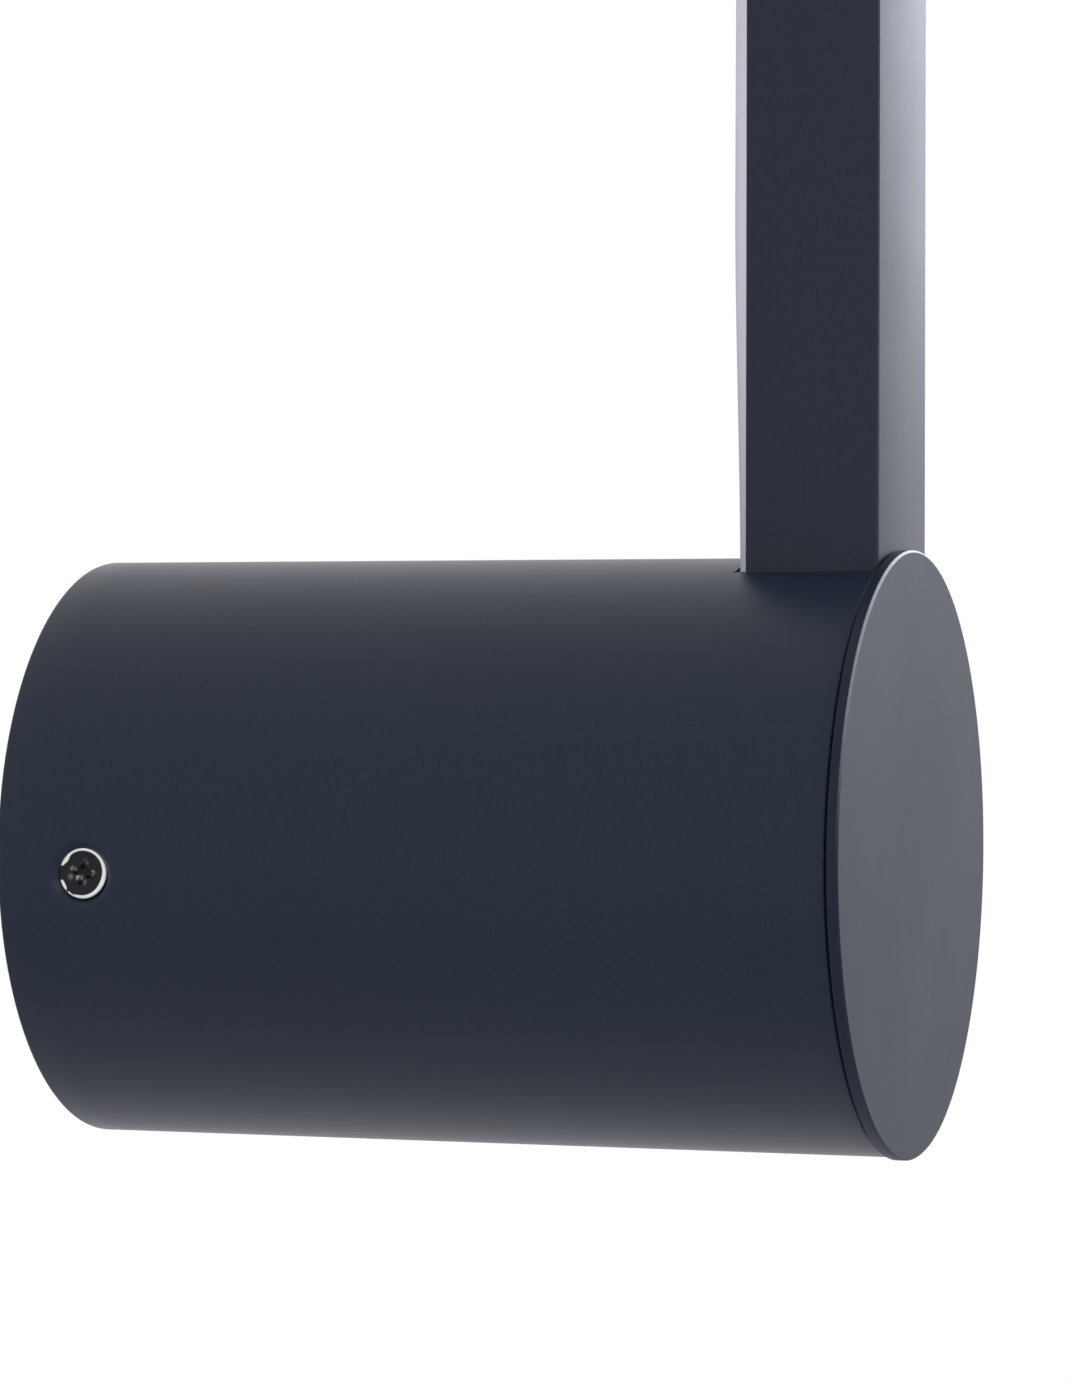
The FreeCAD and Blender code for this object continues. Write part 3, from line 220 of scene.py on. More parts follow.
# Powder coat: round grains give the height, broad clouds tint the colour a little up and down, and the
# roughness follows the clouds. Specks are the few cells of a Voronoi pattern whose random value is high,
# where the distance from the cell's centre is small: dust that was baked into the coat.
def buildPowderCoat():
    group, given, out = newGroup("powderCoat", [
        ("Place", "NodeSocketVector", (0, 0, 0)), ("Color", "NodeSocketColor", (0.02, 0.02, 0.03, 1)),
        ("Roughness", "NodeSocketFloat", 0.4), ("Grain Scale", "NodeSocketFloat", 2200.0),
        ("Cloud", "NodeSocketFloat", 0.1), ("Fleck", "NodeSocketFloat", 0.1),
        ("Speck Scale", "NodeSocketFloat", 240.0), ("Speck Size", "NodeSocketFloat", 0.055)],
        [("Color", "NodeSocketColor"), ("Roughness", "NodeSocketFloat"), ("Height", "NodeSocketFloat")])
    g = Graph(group)
    grain = g.noise(given["Place"], given["Grain Scale"], 3.0, 0.55)
    cloud = g.noise(given["Place"], 38.0, 4.0, 0.6)
    fleck = g.noise(given["Place"], 5200.0, 1.0, 0.5)
    cells = g.add("TexVoronoi", {"Vector": given["Place"], "Scale": given["Speck Scale"]}).outputs
    chosen = g.math("GREATER_THAN", g.add("SeparateColor", {0: cells["Color"]}).outputs[0], 0.72)
    near = g.math("SUBTRACT", 1.0, g.math("DIVIDE", cells["Distance"], given["Speck Size"]), clamp=True)
    speck = g.math("MULTIPLY", chosen, g.ramp(near, 0.0, 0.4))
    tint = g.math("MULTIPLY_ADD", g.math("SUBTRACT", cloud, 0.5), given["Cloud"], 1.0)
    light = g.math("MULTIPLY_ADD", g.math("SUBTRACT", grain, 0.5), given["Fleck"], tint)
    light = g.math("MULTIPLY", light, g.math("MULTIPLY_ADD", speck, -0.8, 1.0))
    shade = g.add("CombineXYZ", {"X": light, "Y": light, "Z": light}).outputs[0]
    g.feed(out["Color"], g.mix(1.0, given["Color"], shade, "MULTIPLY"))
    change = g.math("MULTIPLY", g.math("SUBTRACT", cloud, 0.5), 0.12)
    g.feed(out["Roughness"], g.math("ADD", given["Roughness"], change, clamp=True))
    g.feed(out["Height"], g.math("MULTIPLY_ADD", speck, 2.5, g.math("MULTIPLY_ADD", fleck, 0.3, grain)))
    return group


# Wear: bare = mask × (1 + patch × noise between -1 and 1), so that a rubbed edge is stronger here and
# weaker there, and a place with no mask stays coated.
def buildWear():
    group, given, out = newGroup("wear", [
        ("Place", "NodeSocketVector", (0, 0, 0)), ("Mask", "NodeSocketFloat", 0.0),
        ("Scale", "NodeSocketFloat", 900.0), ("Patch", "NodeSocketFloat", 0.5)],
        [("Bare", "NodeSocketFloat")])
    g = Graph(group)
    noise = g.math("MULTIPLY_ADD", g.noise(given["Place"], given["Scale"], 3.0, 0.6), 2.0, -1.0)
    change = g.math("MULTIPLY_ADD", noise, given["Patch"], 1.0)
    g.feed(out["Bare"], g.math("MULTIPLY", given["Mask"], change, clamp=True))
    return group


# Machined metal: fine lines along one axis, drawn out a hundredfold, over faint smudges.
def buildMachined():
    group, given, out = newGroup("machined", [
        ("Place", "NodeSocketVector", (0, 0, 0)), ("Stretch", "NodeSocketVector", (1, 1, 0.02)),
        ("Color", "NodeSocketColor", (0.7, 0.7, 0.72, 1)), ("Scale", "NodeSocketFloat", 4000.0),
        ("Roughness", "NodeSocketFloat", 0.35)],
        [("Color", "NodeSocketColor"), ("Roughness", "NodeSocketFloat"), ("Height", "NodeSocketFloat")])
    g = Graph(group)
    drawn = g.add("VectorMath", {0: given["Place"], 1: given["Stretch"]}, operation="MULTIPLY").outputs[0]
    line = g.noise(drawn, given["Scale"], 3.0, 0.6)
    smudge = g.noise(given["Place"], 120.0, 3.0, 0.6)
    drift = g.math("MULTIPLY_ADD", smudge, 0.12, -0.06)
    light = g.math("ADD", g.math("MULTIPLY_ADD", line, 0.16, 0.92), drift)
    shade = g.add("CombineXYZ", {"X": light, "Y": light, "Z": light}).outputs[0]
    g.feed(out["Color"], g.mix(1.0, given["Color"], shade, "MULTIPLY"))
    least = g.math("SUBTRACT", given["Roughness"], 0.11)
    g.feed(out["Roughness"], g.math("MULTIPLY_ADD", smudge, 0.22, least))
    g.feed(out["Height"], line)
    return group


# Moulded skin: a soft orange-peel height and slight clouding of the colour, as in plastic and rubber.
def buildMoulded():
    group, given, out = newGroup("moulded", [
        ("Place", "NodeSocketVector", (0, 0, 0)), ("Color", "NodeSocketColor", (0.8, 0.8, 0.8, 1)),
        ("Scale", "NodeSocketFloat", 1500.0), ("Roughness", "NodeSocketFloat", 0.5),
        ("Cloud", "NodeSocketFloat", 0.12)],
        [("Color", "NodeSocketColor"), ("Roughness", "NodeSocketFloat"), ("Height", "NodeSocketFloat")])
    g = Graph(group)
    peel = g.noise(given["Place"], given["Scale"], 2.0, 0.5)
    cloud = g.noise(given["Place"], 90.0, 4.0, 0.6)
    light = g.math("MULTIPLY_ADD", g.math("SUBTRACT", cloud, 0.5), given["Cloud"], 1.0)
    shade = g.add("CombineXYZ", {"X": light, "Y": light, "Z": light}).outputs[0]
    g.feed(out["Color"], g.mix(1.0, given["Color"], shade, "MULTIPLY"))
    least = g.math("SUBTRACT", given["Roughness"], 0.08)
    g.feed(out["Roughness"], g.math("MULTIPLY_ADD", cloud, 0.16, least))
    g.feed(out["Height"], peel)
    return group


powderCoatGroup, wearGroup = buildPowderCoat(), buildWear()
machinedGroup, mouldedGroup = buildMachined(), buildMoulded()
print("shader groups built")


def startMaterial(name):
    material = bpy.data.materials.new(name)
    material.use_nodes = True
    graph = Graph(material.node_tree)
    return material, graph, material.node_tree.nodes["Principled BSDF"]


def useGroup(graph, group, **values):
    node = graph.add("Group", node_tree=group)
    for key, value in values.items():
        graph.feed(node.inputs[key.replace("_", " ")], value)
    return node.outputs


def bumpFrom(graph, height, strength, distance):
    return graph.add("Bump", {"Height": height, "Strength": strength, "Distance": distance}).outputs[0]


coatValues = {
    "color": (0.010, 0.016, 0.030, 1),
    "bare": (0.55, 0.56, 0.6, 1),
    "roughness": 0.46,
    "specular": 0.22,
    "grain": 2200.0,
    "cloud": 0.25,
    "fleck": 0.5,
    "patch": 0.5,              # how uneven the rubbed edges are
    "bump": 0.1,
    "sheen": 0.0,              # weight of a second gloss layer over the coat
    "sheenIor": 1.3,
    "sheenRoughness": 0.4,
}


# Navy-black satin powder coat over aluminium, rubbed thin where the mask named edge says so; on the cap's
# chamfer that mask is also graded with height as a painted highlight.
def coatMaterial(name, **changes):
    v = coatValues | changes
    material, g, shader = startMaterial(name)
    place = g.place()
    coat = useGroup(g, powderCoatGroup, Place=place, Color=v["color"], Roughness=v["roughness"],
                    Grain_Scale=v["grain"], Cloud=v["cloud"], Fleck=v["fleck"])
    bare = useGroup(g, wearGroup, Place=place, Mask=g.mask("edge"), Patch=v["patch"])["Bare"]
    g.feed(shader.inputs["Base Color"], g.mix(bare, coat["Color"], v["bare"]))
    g.feed(shader.inputs["Roughness"], coat["Roughness"])
    g.feed(shader.inputs["Metallic"], g.math("MULTIPLY", bare, 0.9))
    g.feed(shader.inputs["Normal"], bumpFrom(g, coat["Height"], v["bump"], 0.0001))
    shader.inputs["Specular IOR Level"].default_value = v["specular"]
    shader.inputs["Coat Weight"].default_value = v["sheen"]
    shader.inputs["Coat IOR"].default_value = v["sheenIor"]
    shader.inputs["Coat Roughness"].default_value = v["sheenRoughness"]
    return material


blackSteelValues = {
    "color": (0.012, 0.013, 0.016, 1),
    "bare": (0.80, 0.80, 0.79, 1),
    "roughness": 0.42,
    "smoothed": 0.08,          # how much less rough the bare metal is
    "metallic": (0.2, 0.95),   # of the black oxide and of the bare metal
    "specular": 0.2,
    "bump": 0.12,
}


# Blackened screw: black oxide, bright metal wherever its mask of bare metal and painted glints says so.
def screwMaterial(name):
    v = blackSteelValues
    material, g, shader = startMaterial(name)
    place = g.place()
    steel = useGroup(g, machinedGroup, Place=place, Color=v["color"], Scale=3000.0, Stretch=(1, 1, 1),
                     Roughness=v["roughness"])
    bareAndGlints = useGroup(g, wearGroup, Place=place, Mask=g.mask("bareAndGlints"), Scale=1500.0, Patch=0.3)["Bare"]
    smoothed = g.math("MULTIPLY", bareAndGlints, v["smoothed"])
    g.feed(shader.inputs["Base Color"], g.mix(bareAndGlints, steel["Color"], v["bare"]))
    g.feed(shader.inputs["Roughness"], g.math("SUBTRACT", steel["Roughness"], smoothed))
    g.feed(shader.inputs["Metallic"], g.ramp(bareAndGlints, 0.0, 1.0, *v["metallic"]))
    g.feed(shader.inputs["Normal"], bumpFrom(g, steel["Height"], v["bump"], 0.00005))
    shader.inputs["Specular IOR Level"].default_value = v["specular"]
    return material


# Bare metal with its machining lines.
def metalMaterial(name, color, roughness=0.36, stretch=(1, 1, 0.02), scale=4000.0, bump=0.12):
    material, g, shader = startMaterial(name)
    metal = useGroup(g, machinedGroup, Place=g.place(), Color=color, Scale=scale, Stretch=stretch,
                     Roughness=roughness)
    g.feed(shader.inputs["Base Color"], metal["Color"])
    g.feed(shader.inputs["Roughness"], metal["Roughness"])
    g.feed(shader.inputs["Normal"], bumpFrom(g, metal["Height"], bump, 0.00005))
    shader.inputs["Metallic"].default_value = 1.0
    return material


# Moulded surface. Its colour is a constant or comes from another node of the same graph.
def mouldSurface(g, shader, place, color, roughness, scale, cloud, bump):
    skin = useGroup(g, mouldedGroup, Place=place, Color=color, Scale=scale, Roughness=roughness, Cloud=cloud)
    g.feed(shader.inputs["Base Color"], skin["Color"])
    g.feed(shader.inputs["Roughness"], skin["Roughness"])
    g.feed(shader.inputs["Normal"], bumpFrom(g, skin["Height"], bump, 0.0001))
    shader.inputs["Specular IOR Level"].default_value = 0.45


def mouldedMaterial(name, color, roughness=0.5, scale=1500.0):
    material, g, shader = startMaterial(name)
    mouldSurface(g, shader, g.place(), color, roughness, scale, 0.12, 0.1)
    return material


opalValues = {
    "color": (0.705, 0.71, 0.805, 1),
    "low": (0.465, 0.47, 0.55, 1),    # painted shade: its colour near the cylinder, darker where the cylinder shades it
    "shadeFade": (0.026, 0.066),           # heights in metres over which the painted shade turns into the plain colour
    "roughness": 0.42,
    "grain": 700.0,
    "cloud": 0.08,
    "bump": 0.08,
}


# Opal plastic: a moulded skin with painted shade, darker near the cylinder and paler with height above it.
def opalMaterial(name):
    v = opalValues
    material, g, shader = startMaterial(name)
    place = g.place()
    height = g.add("SeparateXYZ", {0: place}).outputs["Z"]
    # painted shade near the cylinder, fading out with height
    color = g.mix(g.ramp(height, *v["shadeFade"]), v["low"], v["color"])
    mouldSurface(g, shader, place, color, v["roughness"], v["grain"], v["cloud"], v["bump"])
    return material


# One real coat on all three parts: the three colours differ only as painted light and shade, each matched to
# how its part is lit, and specular and gloss layer differ to match as well.
tubeCoat = coatMaterial("tubeCoat", color=(0.011, 0.019, 0.038, 1), specular=0.06, sheen=0.85)
capCoat = coatMaterial("capCoat", color=(0.010, 0.016, 0.034, 1), patch=0.25, specular=0.17)
barCoat = coatMaterial("barCoat", color=(0.019, 0.023, 0.042, 1))
opalPlastic = opalMaterial("opalPlastic")
print("coat and opal materials built")


tubeValues = {
    "bore": 28.5,
    "ringBore": 27.0,          # the thicker front end
    "edge": 0.3,
    "notchHalf": 10.1,
    "notchDepth": 73.45,       # rear line of the notch, from the wall
    "relief": 0.2,             # round relief in each of the notch's corners
    "screwDepth": 9.6,
    "screwDrop": 3.2,          # degrees below level
    "sink": 3.5,               # mouth of the countersink
    "shankHole": 1.7,
    "lip": 0.16,               # rounding of the countersink's mouth
    "notchSpread": (0.25, 0.5, 0.8, 1.2),   # rows and columns beside the notch's corner
    "sinkSpread": 5.0,         # how far the grid's screw block reaches from the screw
}


# Half of one skin of the cylinder, from the top round its +X side to the bottom. Columns near the notch keep
# x constant, so angle = arcsin(x / radius), and the rest share out the angle that is left.
# Around the screw a point is radial height × normal + tangent offset × tangent, with height =
# the lower of the cylinder, sqrt(radius² - offset²), and the countersink's cone.
def tubeSkin(radius, depth, side, share, index, v, cone):
    edgeAngle = np.arcsin(side[-1] / radius)[:, None]
    x = np.broadcast_to(side, (len(depth), len(side))).copy()
    alongX = np.broadcast_to(depth[:, None], x.shape)
    block = [0, v["relief"] / 2, v["relief"], *v["notchSpread"][2:]]
    offset, drop, inside = ringBlock(x - v["notchHalf"], alongX - v["notchDepth"], index["notchRow"],
                                     index["notchColumn"], block, [1, 1, 1, 0.5, 0])
    x = np.where(inside, offset + v["notchHalf"], x)
    topDepth = np.where(inside, drop + v["notchDepth"], alongX)
    angle = np.concatenate([np.arcsin(x / radius[:, None]),
                            edgeAngle + (np.pi - edgeAngle) * share], 1)
    deep = np.concatenate([topDepth, np.broadcast_to(depth[:, None], (len(depth), len(share)))], 1)
    points = np.stack([radius[:, None] * np.sin(angle), -deep, radius[:, None] * np.cos(angle)], -1)
    centre = np.radians(90 + v["screwDrop"])
    tangentOffset = radius[:, None] * np.sin(angle - centre)
    rings = [0, 0.3, 0.6, 1.0, 1.4, v["shankHole"], 2.3, 2.8, 3.05, 3.18, 3.3, 3.42, 3.54, 3.7, 4.0, 4.4,
             v["sinkSpread"]]
    t, q, inside = ringBlock(tangentOffset, deep - v["screwDepth"], index["screwRow"], index["screwColumn"],
                             rings, [1] * 14 + [0.7, 0.35, 0])
    height = np.sqrt(np.maximum(radius[:, None] ** 2 - t ** 2, 0))
    if cone:
        seat = radius[:, None] - v["sink"] + np.hypot(t, q)
        height = roundedMinimum(seat, height, v["lip"])
    normal = np.array([np.sin(centre), 0, np.cos(centre)])
    tangent = np.array([np.cos(centre), 0, -np.sin(centre)])
    local = height[..., None] * normal + t[..., None] * tangent
    local[..., 1] = -(v["screwDepth"] + q)
    points = np.where(inside[..., None], local, points)
    return np.concatenate([points, points[:, -2:0:-1] * [-1, 1, 1]], 1)


def buildTube():
    v = tubeValues
    low, high = nodeBox("body_tube")
    radius, rear, front = high[0], -high[1], -low[1]
    turn = np.radians([0, 30, 60, 90])
    end, rise = v["edge"] * (1 - np.cos(turn)), v["edge"] * (1 - np.sin(turn))
    near, spread = np.array(v["notchSpread"]), v["sinkSpread"]
    beside = np.concatenate([-near[::-1], [0], near])
    screwRows = v["screwDepth"] + np.linspace(-spread, spread, 33)
    notchRows = v["notchDepth"] + beside
    between = np.linspace(screwRows[-1], notchRows[0], 24)[1:-1]
    ahead = np.linspace(notchRows[-1], front - v["edge"], 8)[1:-1]
    depth = np.concatenate([rear + end, screwRows, between, notchRows, ahead, front - end[::-1]])
    outerRadius = np.full(len(depth), radius)
    outerRadius[:4], outerRadius[-4:] = radius - rise, radius - rise[::-1]
    side = np.concatenate([np.linspace(0, v["notchHalf"] - near[-1], 7), v["notchHalf"] + beside[1:]])
    edgeAngle = np.degrees(np.arcsin(side[-1] / radius))
    centre, half = 90 + v["screwDrop"], np.degrees(spread / radius)
    angles = np.concatenate([np.linspace(edgeAngle, centre - half, 34)[1:-1],
                             centre + np.linspace(-half, half, 33), np.linspace(centre + half, 180, 40)[1:]])
    share = (angles - edgeAngle) / (180 - edgeAngle)
    index = {"screwRow": 4 + 16, "notchRow": int(np.argmin(abs(depth - v["notchDepth"]))),
             "screwColumn": len(side) + 32 + 16, "notchColumn": 10}
    outer = tubeSkin(outerRadius, depth, side, share, index, v, True)
    shoulder = np.arange(len(depth)) > index["notchRow"]
    innerDepth = depth.copy()
    innerDepth[index["notchRow"] + 1] = v["notchDepth"]
    innerRadius = np.where(shoulder, v["ringBore"], v["bore"])
    inner = tubeSkin(innerRadius, innerDepth, side, share, index, v, False)
    row, column = np.indices((len(depth) - 1, len(side) + len(share) - 1)) + 0.5
    removed = (row > index["notchRow"]) & (column < index["notchColumn"])
    removed |= (abs(row - index["notchRow"]) < 2) & (abs(column - index["notchColumn"]) < 2)
    removed |= (abs(row - index["screwRow"]) < 5) & (abs(column - index["screwColumn"]) < 5)
    removed = np.concatenate([removed, removed[:, ::-1]], 1)
    points = np.concatenate([outer.reshape(-1, 3), inner.reshape(-1, 3)])
    piece = makePiece("bodyTube", points, walledFaces(removed), 30)
    return finishPiece(piece, "body_tube", tubeCoat)


buildTube()


capValues = {
    "chamfer": 0.18,
    "chamferRound": 0.035,
    "lift": 0.2,               # the cap sits this much high in the clearance of its spigot
    "rub": (-2.0, 33.0, 0.6),  # heights over which the chamfer's bare edge grows brighter upwards as a painted highlight, and how much
    "guard": 0.06,             # from the chamfer to the rings beside it, which keep the coat
    "back": 88.8,              # depth of the disc's back face
    "backEdge": 0.08,
    "spigot": (24.8, 26.8),    # its inner and outer radius
    "spigotLength": 3.5,
    "seat": (30.5, 0.25),      # the step that rests on the cylinder's end: its radius and thickness
    "gapHalf": 10.3,           # spigot and seat stop each side of the bar
    "post": (3.2, 18.0, -2.0), # radius, distance each side, height
    "postEnd": 73.5,
}


# The disc is one closed profile turned about the axis. Seat and spigot are a rounded angle section carried
# round from one side of the bar to the other: angle = edge + share × (full turn - 2 edge), with
# edge = arcsin(gap / radius), and its ends are flat. Each post is a profile turned about its own axis.
def buildCap():
    v = capValues
    low, high = nodeBox("front_cap")
    radius, front = high[0], -low[1]
    angles = np.linspace(0, 2 * np.pi, 240, endpoint=False)
    c, r, guard = v["chamfer"], v["chamferRound"], v["guard"]
    rim = roundedOutline([(0, front, 0), (radius - c, front, r), (radius, front - c, r),
                          (radius, v["back"], v["backEdge"]), (0, v["back"], 0)], 3)
    rings = np.linspace(0, radius - c - 0.4, 9)[1:]
    frontRings = np.stack([rings, np.full(8, front)], -1)
    backRings = np.stack([rings[::-1], np.full(8, v["back"])], -1)
    away = c + r + guard
    profile = np.concatenate([[(0, front)], frontRings, [(radius - away, front)], rim[4:12],
                              [(radius, front - away)], rim[12:16], backRings, [(0, v["back"])]])
    disc = turnedPoints(profile, angles)
    onChamfer = np.zeros((len(profile), 1))
    onChamfer[10:18] = 1
    # The chamfer's bare metal is edge wear graded up the cap's height: a painted highlight, brightest at the
    # top.
    foot, head, most = v["rub"]
    edge = onChamfer * most * smoothStep(foot, head, disc[..., 2])
    faces = [gridQuads(*disc.shape[:2], closedColumns=True).reshape(-1, 4)]
    points, masks = [disc.reshape(-1, 3)], [edge.ravel()]
    inner, outer = v["spigot"]
    seat, thickness = v["seat"]
    back, step, end = v["back"], v["back"] - thickness, v["back"] - v["spigotLength"]
    section = roundedOutline([(inner, back, 0.05), (seat, back, 0.05), (seat, step, 0.05),
                              (outer, step, 0.05), (outer, end, 0.15), (inner, end, 0.15)], 3)
    start = np.arcsin(v["gapHalf"] / section[:, 0, None])
    sweep = start + np.linspace(0, 1, 160) * (2 * np.pi - 2 * start)
    ring = np.stack([section[:, 0, None] * np.sin(sweep), -section[:, 1, None] + 0 * sweep,
                     section[:, 0, None] * np.cos(sweep)], -1)
    count = sum(len(p) for p in points)
    number = count + np.arange(ring.shape[0] * ring.shape[1]).reshape(ring.shape[:2])
    faces.append(gridQuads(*ring.shape[:2], closedRows=True, first=count).reshape(-1, 4))
    caps = [number[:, 0].tolist(), number[::-1, -1].tolist()]
    points.append(ring.reshape(-1, 3))
    masks.append(np.zeros(number.size))
    postRadius, across, height = v["post"]
    post = roundedOutline([(0, v["postEnd"], 0), (postRadius, v["postEnd"], 0.3),
                           (postRadius, back, 0.05), (0, back, 0)], 3)
    postAngles = np.linspace(0, 2 * np.pi, 40, endpoint=False)
    for way in (-1, 1):
        shape = turnedPoints(post, postAngles) + [way * across, 0, height]
        faces.append(gridQuads(*shape.shape[:2], closedColumns=True,
                               first=sum(len(p) for p in points)).reshape(-1, 4))
        points.append(shape.reshape(-1, 3))
        masks.append(np.zeros(len(points[-1])))
    piece = makePiece("frontCap", np.concatenate(points) + [0, 0, v["lift"]],
                      np.concatenate(faces).tolist() + caps, 25, {"edge": np.concatenate(masks)})
    return finishPiece(piece, "front_cap", capCoat)


buildCap()


barValues = {
    "edge": 0.25,              # rounding of the two front edges
    "rub": 0.03,               # how bright they are rubbed
    "rearEdge": 0.12,
    "wall": 1.0,
    "floor": 1.6,
    "ledge": (10.2, 11.0, 1.2),  # where it starts and ends behind the front face, and its reach
    "port": (7.2, 3.4, 1.9, 1.02),  # across, behind the front face, outer radius, bore
    "slot": 0.35,              # half angle in radians of a port's slot
}


# The bar's section is an open channel with a ledge and a screw port in each side. It is carried up the bar,
# and its two ends draw in by a small rounding along the outline's own normal.
def barSection(v, half, depth):
    edge, thin = v["edge"], 0.03
    front, back, reach = v["ledge"]
    inside = half - v["wall"]
    x, y, radius, bore = v["port"]
    floorJoin = x - np.sqrt(radius ** 2 - (y - v["floor"]) ** 2)
    wallJoin = y + np.sqrt(radius ** 2 - (inside - x) ** 2)
    startTurn = np.arctan2(v["floor"] - y, floorJoin - x) + 2 * np.pi
    endTurn = np.arctan2(wallJoin - y, inside - x)
    middle = (startTurn + endTurn) / 2
    first = np.linspace(startTurn, middle + v["slot"], 8)
    hole = np.linspace(middle + v["slot"] * 1.6, middle - v["slot"] * 1.6 + 2 * np.pi, 20)
    last = np.linspace(middle - v["slot"], endTurn, 8)

    def ring(turns, size):
        return np.stack([x + size * np.cos(turns), y + size * np.sin(turns)], -1)

    port = np.concatenate([ring(first, radius), ring(hole, bore), ring(last, radius)])
    corners = roundedOutline([
        (-half - 5, -5, 0), (0, -5, 0), (inside, front, thin), (inside - reach, front, 0.1),
        (inside - reach, back, 0.1), (inside, back, thin), (inside, depth, v["rearEdge"]),
        (half, depth, v["rearEdge"]), (half, 0, edge), (-half - 5, 0, 0)], 4)
    wall = corners[10:45]
    rightHalf = np.concatenate([[(0, v["floor"])], port, wall])
    leftHalf = rightHalf[:0:-1] * [-1, 1]
    return np.concatenate([rightHalf, leftHalf])


def outwardNormals(loop):        # unit normal of a closed outline at each point, from its two neighbours
    along = np.roll(loop, -1, 0) - np.roll(loop, 1, 0)
    along /= np.maximum(np.linalg.norm(along, axis=1, keepdims=True), 1e-9)
    area = np.sum(loop[:, 0] * np.roll(loop[:, 1], -1) - np.roll(loop[:, 0], -1) * loop[:, 1])
    return np.stack([along[:, 1], -along[:, 0]], -1) * np.sign(area)


# Carries a closed section (across, behind the front face) up from one height to another, the ends drawn in
# by a rounding. shift(points, heights) may move the section's points.
def carriedUp(section, heights, front, rounding, shift=None):
    normals = outwardNormals(section)
    turn = np.radians([0, 30, 60, 90])
    lift, draw = rounding * (1 - np.cos(turn)), rounding * (1 - np.sin(turn))
    rows = np.concatenate([heights[0] + lift, heights[1:-1], heights[-1] - lift[::-1]])
    inset = np.concatenate([draw, np.zeros(len(heights) - 2), draw[::-1]])
    plane = section[None] - normals[None] * inset[:, None, None]
    if shift is not None:
        plane = shift(plane, rows)
    x, behind = plane[..., 0], plane[..., 1]
    points = np.stack([x, behind - front, np.broadcast_to(rows[:, None], x.shape)], -1)
    number = np.arange(x.size).reshape(x.shape)
    faces = gridQuads(*x.shape, closedColumns=True).reshape(-1, 4).tolist()
    return points, faces + [number[0].tolist(), number[-1, ::-1].tolist()]


def buildBar():
    v = barValues
    low, high = nodeBox("bar_profile")
    section = barSection(v, high[0], high[1] - low[1])
    points, faces = carriedUp(section, np.linspace(low[2], high[2], 26), -low[1], 0.05)
    near = v["edge"] - 0.01
    frontEdge = (abs(points[..., 0]) > high[0] - near) & (points[..., 1] < low[1] + near)
    piece = makePiece("barProfile", points, faces, 25, {"edge": v["rub"] * frontEdge.ravel()})
    return finishPiece(piece, "bar_profile", barCoat)


buildBar()


diffuserValues = {
    "wall": 1.5,
    "legHalf": 8.9,            # half the width over its two legs
    "legEnd": 11.1,            # where they end behind the bar's front face
    "round": 0.4,
    "proud": (0.66, 1.30),     # how far it stands out of the bar at its foot and further up
    "settle": (26.0, 68.0),    # heights between which it comes out
    "top": (372.0, 396.0),     # heights between which it goes to its thickness under the end cap
    "ripple": 0.03,
    "rippleLength": 21.0,
}


# A cover as wide as the bar, with a leg inside each edge, carried up the bar. Its back stands out of the bar
# by foot + (upper - foot) × rise - (upper - thickness at the end cap) × fall, plus a slow ripple,
# sin(height / length) + half of sin(2.3 × height / length + 1), because the strip isn't quite flat.
def buildDiffuser():
    v = diffuserValues
    low, high = nodeBox("bar_diffuser")
    barLow, barHigh = nodeBox("bar_profile")
    front, half, back, seam = -barLow[1], high[0], high[1] - barLow[1], barHigh[1] - barLow[1]
    leg, end, inner, wall = v["legHalf"], v["legEnd"], v["legHalf"] - v["wall"], v["wall"]
    section = roundedOutline([
        (inner, end, 0.05), (leg, end, 0.05), (leg, seam, 0.03), (half, seam, 0.08),
        (half, back, v["round"]), (-half, back, v["round"]), (-half, seam, 0.08), (-leg, seam, 0.03),
        (-leg, end, 0.05), (-inner, end, 0.05), (-inner, back - wall, 0.2), (inner, back - wall, 0.2)], 6)

    def stand(plane, rows):
        rise, fall = smoothStep(*v["settle"], rows), smoothStep(*v["top"], rows)
        wave = rows / v["rippleLength"]
        ripple = v["ripple"] * (np.sin(wave) + 0.5 * np.sin(2.3 * wave + 1)) * (rise - fall)
        foot, upper = v["proud"]
        out = foot + (upper - foot) * rise - (upper - back + seam) * fall + ripple
        share = np.clip((plane[..., 1] - seam) / (back - seam), 0, 1)
        plane[..., 1] += share * (out - back + seam)[:, None]
        return plane

    points, faces = carriedUp(section, np.linspace(low[2], high[2], 190), front, 0.06, stand)
    piece = makePiece("barDiffuser", points, faces, 30)
    return finishPiece(piece, "bar_diffuser", opalPlastic)


buildDiffuser()


screwValues = {
    "face": 30.3,              # distance of the head's face from the lamp's axis
    "head": 2.65,
    "land": 0.15,
    "bead": 0.05,              # how far the rim round the face rises
    "thread": 1.5,
    "length": 7.0,
    "armHalf": 0.33,           # half width of a recess's arm
    "armReach": 1.45,
    "recess": 0.6,
    "turn": -14.0,             # degrees that the cross is turned
    "farTurn": 1.9,            # radians that the far side's screw is turned further
    "rim": 0.58,               # width of the band at the edge that may be bare metal
    "glints": [(-1.11, 0.43, 0.19, 0.8), (-0.46, -0.5, 0.2, 0.85), (0.27, 1.08, 0.22, 0.45),
               (1.0, -0.22, 0.18, 0.45), (1.17, 0.05, 0.18, 0.5), (0.16, -0.93, 0.25, 0.2),
               (-1.32, -0.4, 0.25, 0.2)],      # across, up, radius, strength of painted glints: bare-metal spots where light catches the recess
}


